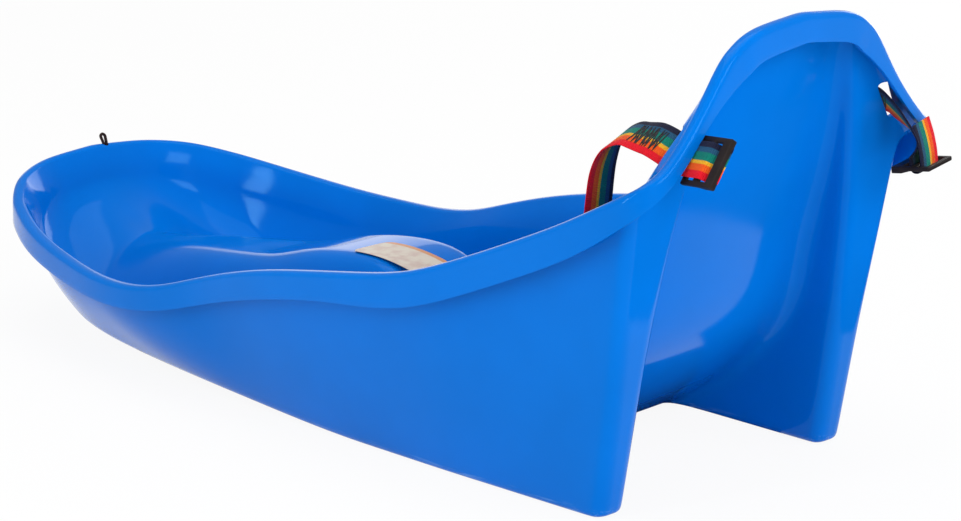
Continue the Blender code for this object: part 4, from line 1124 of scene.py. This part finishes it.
def eye_body():
    """Round bar through the rim for the wire loop."""
    bm = bmesh.new()
    bmesh.ops.create_cone(bm, cap_ends=True, segments=HOLE_SIDES, radius1=EYE_HOLE / 2, radius2=EYE_HOLE / 2,
                          depth=4 * WALL)
    bmesh.ops.translate(bm, verts=bm.verts, vec=(EYE_PLACE[0], EYE_PLACE[1] + HEEL_LINE_Y, RIM[-1][2]))
    return plain_body("eye_hole", bm)


class SLED_OT_shell(Operator):
    """Model the moulded shell with its rim, heels, ridge, slots and eye hole"""
    bl_idname = "sled.shell"
    bl_label = "Shell"

    def execute(self, context):
        sizes = settings().shell
        bm = bmesh.new()
        shell_half(bm)
        bmesh.ops.remove_doubles(bm, verts=bm.verts, dist=1e-5)
        bmesh.ops.recalc_face_normals(bm, faces=bm.faces)
        bmesh.ops.translate(bm, verts=bm.verts, vec=(0, HEEL_LINE_Y, 0))
        shell = finish_piece("shell", bm, plastic_material())
        mirror = shell.modifiers.new("both_halves", "MIRROR")
        mirror.merge_threshold = 0.00005
        finer = shell.modifiers.new("finer", "SUBSURF")
        finer.levels = sizes.levels
        finer.render_levels = sizes.levels
        wall = shell.modifiers.new("wall", "SOLIDIFY")
        wall.thickness = WALL
        wall.offset = 1
        wall.use_even_offset = True
        edge = shell.modifiers.new("edge", "BEVEL")
        edge.width = sizes.edge_radius
        edge.segments = 2
        edge.limit_method = "ANGLE"
        edge.angle_limit = math.radians(50)
        helpers = [slot_body("slot_left", 1), slot_body("slot_right", -1), eye_body()]
        for body in helpers:
            cut(shell, body)
        settle(shell, helpers)
        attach(shell, "shell")
        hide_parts("sled_shell")
        return {"FINISHED"}


def ribbon_frames(path):
    """Middle, way across, way out of the face and distance so far, at each point of a belt path."""
    frames = []
    gone = 0.0
    for k, point in enumerate(path):
        here = Vector(point[:3]) + Vector((0, HEEL_LINE_Y, 0))
        before = Vector(path[max(k - 1, 0)][:3])
        after = Vector(path[min(k + 1, len(path) - 1)][:3])
        along = (after - before).normalized()
        across = Vector(point[3:])
        across = (across - along * across.dot(along)).normalized()
        if frames:
            gone += (here - frames[-1][0]).length
        frames.append((here, across, along.cross(across).normalized(), gone))
    return frames


def on_ribbon(frames, distance, across, lift):
    """Point on or above a belt's face, at a distance along it."""
    k = 0
    while k < len(frames) - 2 and frames[k + 1][3] < distance:
        k += 1
    a, b = frames[k], frames[k + 1]
    share = (distance - a[3]) / max(1e-9, b[3] - a[3])
    return (a[0].lerp(b[0], share) + a[1].lerp(b[1], share).normalized() * across
            + a[2].lerp(b[2], share).normalized() * lift)


def ribbon_piece(name, path, finish):
    """Webbing along a path, with soft edges and its UV map across and along it."""
    frames = ribbon_frames(path)
    halves = [-1 + 2 * k / RIBBON_ACROSS for k in range(RIBBON_ACROSS + 1)]
    ring = [(h, 1) for h in halves] + [(h, -1) for h in reversed(halves)]
    ring = [(math.sin(h * math.pi / 2), side) for h, side in ring]

    def corner(i, j):
        here, across, out, gone = frames[j]
        share, side = ring[i % len(ring)]
        thick = BELT_THICKNESS / 2 * (1 - BELT_EDGE_THIN * abs(share) ** BELT_EDGE_POWER)
        return here + across * share * BELT_WIDTH / 2 + out * side * thick

    bm = bmesh.new()
    grid_patch(bm, len(ring), len(path) - 1, corner)
    spots = bm.verts.layers.float_vector.new("spot")
    bm.verts.ensure_lookup_table()
    for n, vert in enumerate(bm.verts):
        i = n % (len(ring) + 1)
        j = n // (len(ring) + 1)
        vert[spots] = ((ring[i % len(ring)][0] + 1) / 2, frames[j][3] / BELT_WIDTH, 0.0)
    bmesh.ops.remove_doubles(bm, verts=bm.verts, dist=1e-7)
    ends = [e for e in bm.edges if e.is_boundary]
    bmesh.ops.holes_fill(bm, edges=ends, sides=0)
    bmesh.ops.recalc_face_normals(bm, faces=bm.faces)
    layer = bm.loops.layers.uv.new("belt")
    for face in bm.faces:
        for corner_loop in face.loops:
            corner_loop[layer].uv = corner_loop.vert[spots][:2]
    bm.verts.layers.float_vector.remove(spots)
    return finish_piece(name, bm, finish, 50.0)


def thread_piece(name, points, radius, finish):
    """Round thread through points."""
    frames = []
    for k, here in enumerate(points):
        along = (points[min(k + 1, len(points) - 1)] - points[max(k - 1, 0)]).normalized()
        side = along.orthogonal().normalized() if not frames else frames[-1][1]
        side = (side - along * side.dot(along)).normalized()
        frames.append((here, side, along.cross(side)))

    def ring(k):
        here, side, up = frames[k]
        return [here + (side * math.cos(a) + up * math.sin(a)) * radius
                for a in [2 * math.pi * n / THREAD_SIDES for n in range(THREAD_SIDES)]]

    bm = bmesh.new()
    swept(bm, points, ring)
    return finish_piece(name, bm, finish, 60.0)


def zigzag(frames, start, end, side, pitch):
    """Points of a zigzag seam on one face of a belt."""
    strokes = round((end - start) / pitch)
    corners = []
    for k in range(strokes + 1):
        at = start + (end - start) * k / strokes
        corners.append((at, TACK_HALF if k % 2 else -TACK_HALF))
    points = []
    lift = side * (BELT_THICKNESS / 2 + LIFT)
    for (a, p), (b, q) in zip(corners, corners[1:]):
        for k in range(TACK_STEPS):
            points.append(on_ribbon(frames, a + (b - a) * k / TACK_STEPS, p + (q - p) * k / TACK_STEPS, lift))
    points.append(on_ribbon(frames, corners[-1][0], corners[-1][1], lift))
    return points


class SLED_OT_belts(Operator):
    """Model both halves of the lap belt with their sewn seams"""
    bl_idname = "sled.belts"
    bl_label = "Lap belt"

    def execute(self, context):
        near = belt_path(woven_end(near_frame()), SOCKET_BAR_X)
        rear = mirrored(looped_end(far_frame())) + from_slot(FAR_DROP)
        far = mirrored(belt_path(rear, PLUG_BAR_X))
        thread = thread_material()
        for name, path, tack, buckle_body in (("belt_near", near, TACK_NEAR, "shell"),
                                              ("belt_far", far, TACK_FAR, "plug")):
            frames = ribbon_frames(path)
            total = frames[-1][3]
            belt = ribbon_piece(name, path, webbing_material(name + "_webbing"))
            seams = [("tack", *tack, 1, TACK_PITCH, "shell"), ("tack_under", *tack, -1, TACK_PITCH, "shell"),
                     ("tack_again", tack[0] + TACK_PITCH, tack[1], 1, TACK_PITCH_AGAIN, "shell"),
                     ("seam", total - TACK_ENDS[1], total - TACK_ENDS[0], 1, TACK_PITCH, buckle_body)]
            for label, first, last, side, pitch, body in seams:
                points = zigzag(frames, first, last, side, pitch)
                seam = thread_piece(name + "_" + label, points, THREAD, thread)
                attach(seam, body)
            if buckle_body == "shell":
                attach(belt, "shell")
                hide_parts("belt_left")
            else:
                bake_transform(belt)
                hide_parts("belt_right")
        return {"FINISHED"}


def ladder(name, pose, finish, radius):
    """Ladder clip with rounded edges and a raised wide bar."""
    centre, along, across, top = pose
    window = CLIP_MIDDLE_BAR / 2 + CLIP_WINDOW
    bar = CLIP_MIDDLE_BAR / 2
    rail = BELT_WIDTH / 2 + CLIP_SLACK
    rungs = [-window - CLIP_END_BAR, -window, -bar, bar, window, window + CLIP_WIDE_BAR]
    rails = [-rail - CLIP_RAIL, -rail, rail, rail + CLIP_RAIL]
    bm = bmesh.new()
    grid_patch(bm, len(rungs) - 1, len(rails) - 1,
               lambda i, j: Vector((rungs[i], rails[j], -CLIP_THICKNESS / 2)))
    windows = [f for f in bm.faces if abs(f.calc_center_median().y) < rail
               and bar < abs(f.calc_center_median().x) < window]
    bmesh.ops.delete(bm, geom=windows, context="FACES")
    made = bmesh.ops.extrude_face_region(bm, geom=bm.faces[:])
    raised = [v for v in made["geom"] if isinstance(v, bmesh.types.BMVert)]
    bmesh.ops.translate(bm, verts=raised, vec=(0, 0, CLIP_THICKNESS))
    lip = [v for v in raised if v.co.x > window - FIT]
    bmesh.ops.translate(bm, verts=lip, vec=(0, 0, CLIP_LIP))
    bmesh.ops.recalc_face_normals(bm, faces=bm.faces)
    sharp = [e for e in bm.edges if e.calc_face_angle(0.0) > 1.0]
    bmesh.ops.bevel(bm, geom=sharp, offset=radius, segments=3, profile=0.5, affect="EDGES", material=-1)
    place = Matrix((along, across, -top)).transposed().to_4x4()
    place.translation = centre + Vector((0, HEEL_LINE_Y, 0))
    bmesh.ops.transform(bm, matrix=place, verts=bm.verts)
    bmesh.ops.recalc_face_normals(bm, faces=bm.faces)
    return finish_piece(name, bm, finish, 30.0)


class SLED_OT_clips(Operator):
    """Model the two ladder clips behind the slots"""
    bl_idname = "sled.clips"
    bl_label = "Ladder clips"

    def execute(self, context):
        sizes = settings().hardware
        finish = nylon_material("black_nylon", sizes.colour, 0.42)
        for name, pose, node in (("clip_near", near_frame(), "ladder_clip_left"),
                                 ("clip_far", far_frame(), "ladder_clip_right")):
            clip = ladder(name, pose, finish, sizes.edge_radius)
            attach(clip, "shell")
            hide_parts(node)
        return {"FINISHED"}


class SLED_OT_buckle(Operator):
    """Dress both halves of the buckle"""
    bl_idname = "sled.buckle"
    bl_label = "Buckle"

    def execute(self, context):
        finish = nylon_material("black_nylon_buckle", settings().hardware.colour, 0.38)
        for name in ("buckle_socket", "buckle_plug"):
            node = frame["nodes"][name]
            node.data.materials.clear()
            node.data.materials.append(finish)
        return {"FINISHED"}


class SLED_OT_loop(Operator):
    """Model the wire loop at the nose"""
    bl_idname = "sled.loop"
    bl_label = "Nose loop"

    def execute(self, context):
        sizes = settings().hardware
        x, y = EYE_PLACE
        rim = RIM[-1][2]
        half = EYE_WIDTH / 2 - EYE_WIRE / 2
        legs = EYE_HOLE / 2 - EYE_WIRE / 2 - FIT
        top = rim + EYE_HEIGHT - EYE_WIRE / 2 - half
        low = rim - WALL - EYE_LEG
        y += HEEL_LINE_Y
        path = [Vector((x - legs, y, low)), Vector((x - legs, y, rim - WALL)), Vector((x - legs, y, rim))]
        for k in range(TURN_STEPS + 1):
            angle = math.pi - math.pi * k / TURN_STEPS
            path.append(Vector((x + half * math.cos(angle), y, top + half * math.sin(angle))))
        path += [Vector((x + legs, y, rim)), Vector((x + legs, y, rim - WALL)), Vector((x + legs, y, low))]
        for point in path:
            share = max(0.0, point.z - rim) / EYE_HEIGHT
            point.x += LOOP_LEAN * share
            point.y -= LOOP_LEAN * share
        loop = thread_piece("nose_loop", path, LOOP_WIRE / 2,
                            nylon_material("dark_wire", sizes.loop_colour, 0.5))
        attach(loop, "shell")
        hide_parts("tow_eye")
        return {"FINISHED"}


class SLED_OT_sticker(Operator):
    """Lay the blank sticker on the ridge"""
    bl_idname = "sled.sticker"
    bl_label = "Sticker"

    def execute(self, context):
        left, right = STICKER_X
        front, rear = STICKER_Y
        bm = bmesh.new()

        def spot(i, j):
            u = 2 * i / STICKER_CELLS - 1
            v = 2 * j / STICKER_CELLS - 1
            reach_x = (right - left) / 2
            reach_y = (rear - front) / 2
            x = u * reach_x
            y = v * reach_y
            over_x = max(0.0, abs(x) - reach_x + STICKER_ROUND)
            over_y = max(0.0, abs(y) - reach_y + STICKER_ROUND)
            if over_x and over_y:
                pull = max(over_x, over_y) / math.hypot(over_x, over_y)
                x -= math.copysign(over_x * (1 - pull), x)
                y -= math.copysign(over_y * (1 - pull), y)
            x += (left + right) / 2
            y += (front + rear) / 2
            return Vector((x, y + HEEL_LINE_Y, floor_height(x, y) + WALL + STICKER_LIFT))

        grid_patch(bm, STICKER_CELLS, STICKER_CELLS, spot)
        layer = bm.loops.layers.uv.new("sticker")
        for face in bm.faces:
            for corner in face.loops:
                corner[layer].uv = ((corner.vert.co.x - left) / (right - left),
                                    (corner.vert.co.y - HEEL_LINE_Y - front) / (rear - front))
        bmesh.ops.recalc_face_normals(bm, faces=bm.faces)
        sticker = finish_piece("sticker", bm, sticker_material(), 40.0)
        thick = sticker.modifiers.new("paper", "SOLIDIFY")
        thick.thickness = STICKER_LIFT
        thick.offset = 1
        settle(sticker, [], 40.0)
        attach(sticker, "shell")
        return {"FINISHED"}


def softbox(name, place, target, size, power, glossy):
    """Rectangular area light that faces a point, seen in the gloss or not."""
    data = bpy.data.lights.new(name, "AREA")
    data.shape = "RECTANGLE"
    data.size, data.size_y = size
    data.energy = power
    lamp = bpy.data.objects.new(name, data)
    lamp.visible_glossy = glossy
    lamp.location = place
    lamp.rotation_mode = "QUATERNION"
    lamp.rotation_quaternion = (Vector(target) - Vector(place)).to_track_quat("-Z", "Y")
    bpy.context.scene.collection.objects.link(lamp)


def dark_card(name, size, place, turn, finish):
    """Dark card that shows in the gloss of the sled alone; it is painted shade under the sled and a painted
    dark reflection beyond the -X heel.
    """
    bm = bmesh.new()
    box(bm, (-size[0] / 2, -size[1] / 2, 0.0), (size[0] / 2, size[1] / 2, size[2]))
    card = finish_piece(name, bm, finish)
    card.location = place
    card.rotation_euler.z = turn
    card.visible_camera = False
    card.visible_diffuse = False
    card.visible_shadow = False
    return card


def painted_card_material():
    """Dull black of the cards that paint shade and a dark reflection into the sled's gloss."""
    finish, tree, shader = new_material("dark_card")
    shader.inputs["Base Color"].default_value = PAINTED_CARD_COLOUR
    shader.inputs["Roughness"].default_value = 1.0
    return finish


def floor_material(colour):
    """Pale floor that shows white to camera and gloss, but for the sled's shadow."""
    finish, tree, shader = new_material("pale_floor")
    shader.inputs["Base Color"].default_value = opaque(colour)
    shader.inputs["Roughness"].default_value = 0.9
    shader.inputs["Specular IOR Level"].default_value = 0.0
    glow = add_node(tree, "ShaderNodeEmission")
    glow.inputs["Strength"].default_value = 1.0
    rays = add_node(tree, "ShaderNodeLightPath")
    seen = maths(tree, "MAXIMUM", rays.outputs["Is Camera Ray"], rays.outputs["Is Transmission Ray"])
    seen = maths(tree, "MAXIMUM", seen, rays.outputs["Is Glossy Ray"])
    blend = add_node(tree, "ShaderNodeMixShader")
    link(tree, maths(tree, "MULTIPLY", seen, FLOOR_GLOW), blend.inputs[0])
    link(tree, shader.outputs[0], blend.inputs[1])
    link(tree, glow.outputs[0], blend.inputs[2])
    link(tree, blend.outputs[0], tree.nodes["Material Output"].inputs["Surface"])
    return finish


def room_light(strength):
    """Plain white world."""
    world = bpy.data.worlds.new("room")
    world.use_nodes = True
    back = world.node_tree.nodes["Background"]
    back.inputs["Color"].default_value = (1.0, 1.0, 1.0, 1.0)
    back.inputs["Strength"].default_value = strength
    return world


def photo_camera():
    """Camera at the photograph's place."""
    data = bpy.data.cameras.new("camera")
    data.sensor_fit = "HORIZONTAL"
    data.sensor_width = SENSOR
    data.lens = CAMERA_FOCUS / IMAGE_WIDTH * SENSOR
    camera = bpy.data.objects.new("camera", data)
    camera.location = Vector(CAMERA_SPOT) + Vector((0, HEEL_LINE_Y, 0))
    camera.rotation_mode = "QUATERNION"
    camera.rotation_quaternion = Vector(CAMERA_LOOK).to_track_quat("-Z", "Y")
    bpy.context.scene.collection.objects.link(camera)
    return camera


class SLED_OT_stage(Operator):
    """Set up the pale floor, the dark cards of painted shade and painted reflection, the soft light and the
    camera
    """
    bl_idname = "sled.stage"
    bl_label = "Stage"

    def execute(self, context):
        sizes = settings().stage
        scene = bpy.context.scene
        scene.view_settings.view_transform = "Standard"
        bm = bmesh.new()
        bmesh.ops.create_grid(bm, x_segments=1, y_segments=1, size=FLOOR_REACH)
        floor = finish_piece("floor", bm, floor_material(sizes.floor))
        floor.location.z = -FLOOR_DROP
        painted_card_finish = painted_card_material()
        # Painted reflection: a card beyond the -X heel, seen only in the gloss, that darkens the reflection
        # on the upper backrest
        dark_card("flag", REFLECTION_CARD_SIZE, REFLECTION_CARD_PLACE, REFLECTION_CARD_TURN, painted_card_finish)
        # Painted shade: a card under the sled, seen only in the gloss, in place of the sled's shadow on the
        # floor
        dark_card("floor_card", SHADE_CARD_SIZE, SHADE_CARD_PLACE, 0.0, painted_card_finish)
        scene.world = room_light(sizes.room)
        for name, place, target, size, glossy in LAMPS:
            softbox(name, place, target, size, getattr(sizes, name), glossy)
        scene.camera = photo_camera()
        return {"FINISHED"}


class SledSettings(PropertyGroup):
    """Everything that can be set on the sled."""
    shell: PointerProperty(type=SledShellSettings, name="Shell", description="Moulded shell")
    belt: PointerProperty(type=SledBeltSettings, name="Belt", description="Lap belt")
    hardware: PointerProperty(type=SledHardwareSettings, name="Hardware",
                              description="Clips, buckle and loop")
    sticker: PointerProperty(type=SledStickerSettings, name="Sticker", description="Blank sticker")
    stage: PointerProperty(type=SledStageSettings, name="Stage", description="Floor and light")


class SLED_PT_panel(Panel):
    """Sled pieces in the sidebar"""
    bl_idname = "SLED_PT_panel"
    bl_label = "Toddler sled"
    bl_space_type = "VIEW_3D"
    bl_region_type = "UI"
    bl_category = "Sled"

    def draw(self, context):
        for group, operators in PARTS:
            column = self.layout.column(align=True)
            values = getattr(context.scene.toddler_sled, group)
            for name in values.bl_rna.properties.keys():
                if name not in ("rna_type", "name"):
                    column.prop(values, name)
            for operator in operators:
                column.operator(operator)


PARTS = [("shell", ("sled.shell",)), ("belt", ("sled.belts",)),
         ("hardware", ("sled.clips", "sled.buckle", "sled.loop")), ("sticker", ("sled.sticker",)),
         ("stage", ("sled.stage",))]
CLASSES = [SledShellSettings, SledBeltSettings, SledHardwareSettings, SledStickerSettings, SledStageSettings,
           SledSettings, SLED_OT_shell, SLED_OT_belts, SLED_OT_clips, SLED_OT_buckle, SLED_OT_loop,
           SLED_OT_sticker, SLED_OT_stage, SLED_PT_panel]


def register():
    """Register every class, and the settings on the scene."""
    for cls in CLASSES:
        bpy.utils.register_class(cls)
    bpy.types.Scene.toddler_sled = PointerProperty(type=SledSettings)


def unregister():
    """Take them off again."""
    del bpy.types.Scene.toddler_sled
    for cls in reversed(CLASSES):
        bpy.utils.unregister_class(cls)


def main():
    """Register the add-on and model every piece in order."""
    register()
    for operator in (bpy.ops.sled.shell, bpy.ops.sled.belts, bpy.ops.sled.clips, bpy.ops.sled.buckle,
                     bpy.ops.sled.loop, bpy.ops.sled.sticker, bpy.ops.sled.stage):
        operator()


if __name__ == "__main__":
    main()
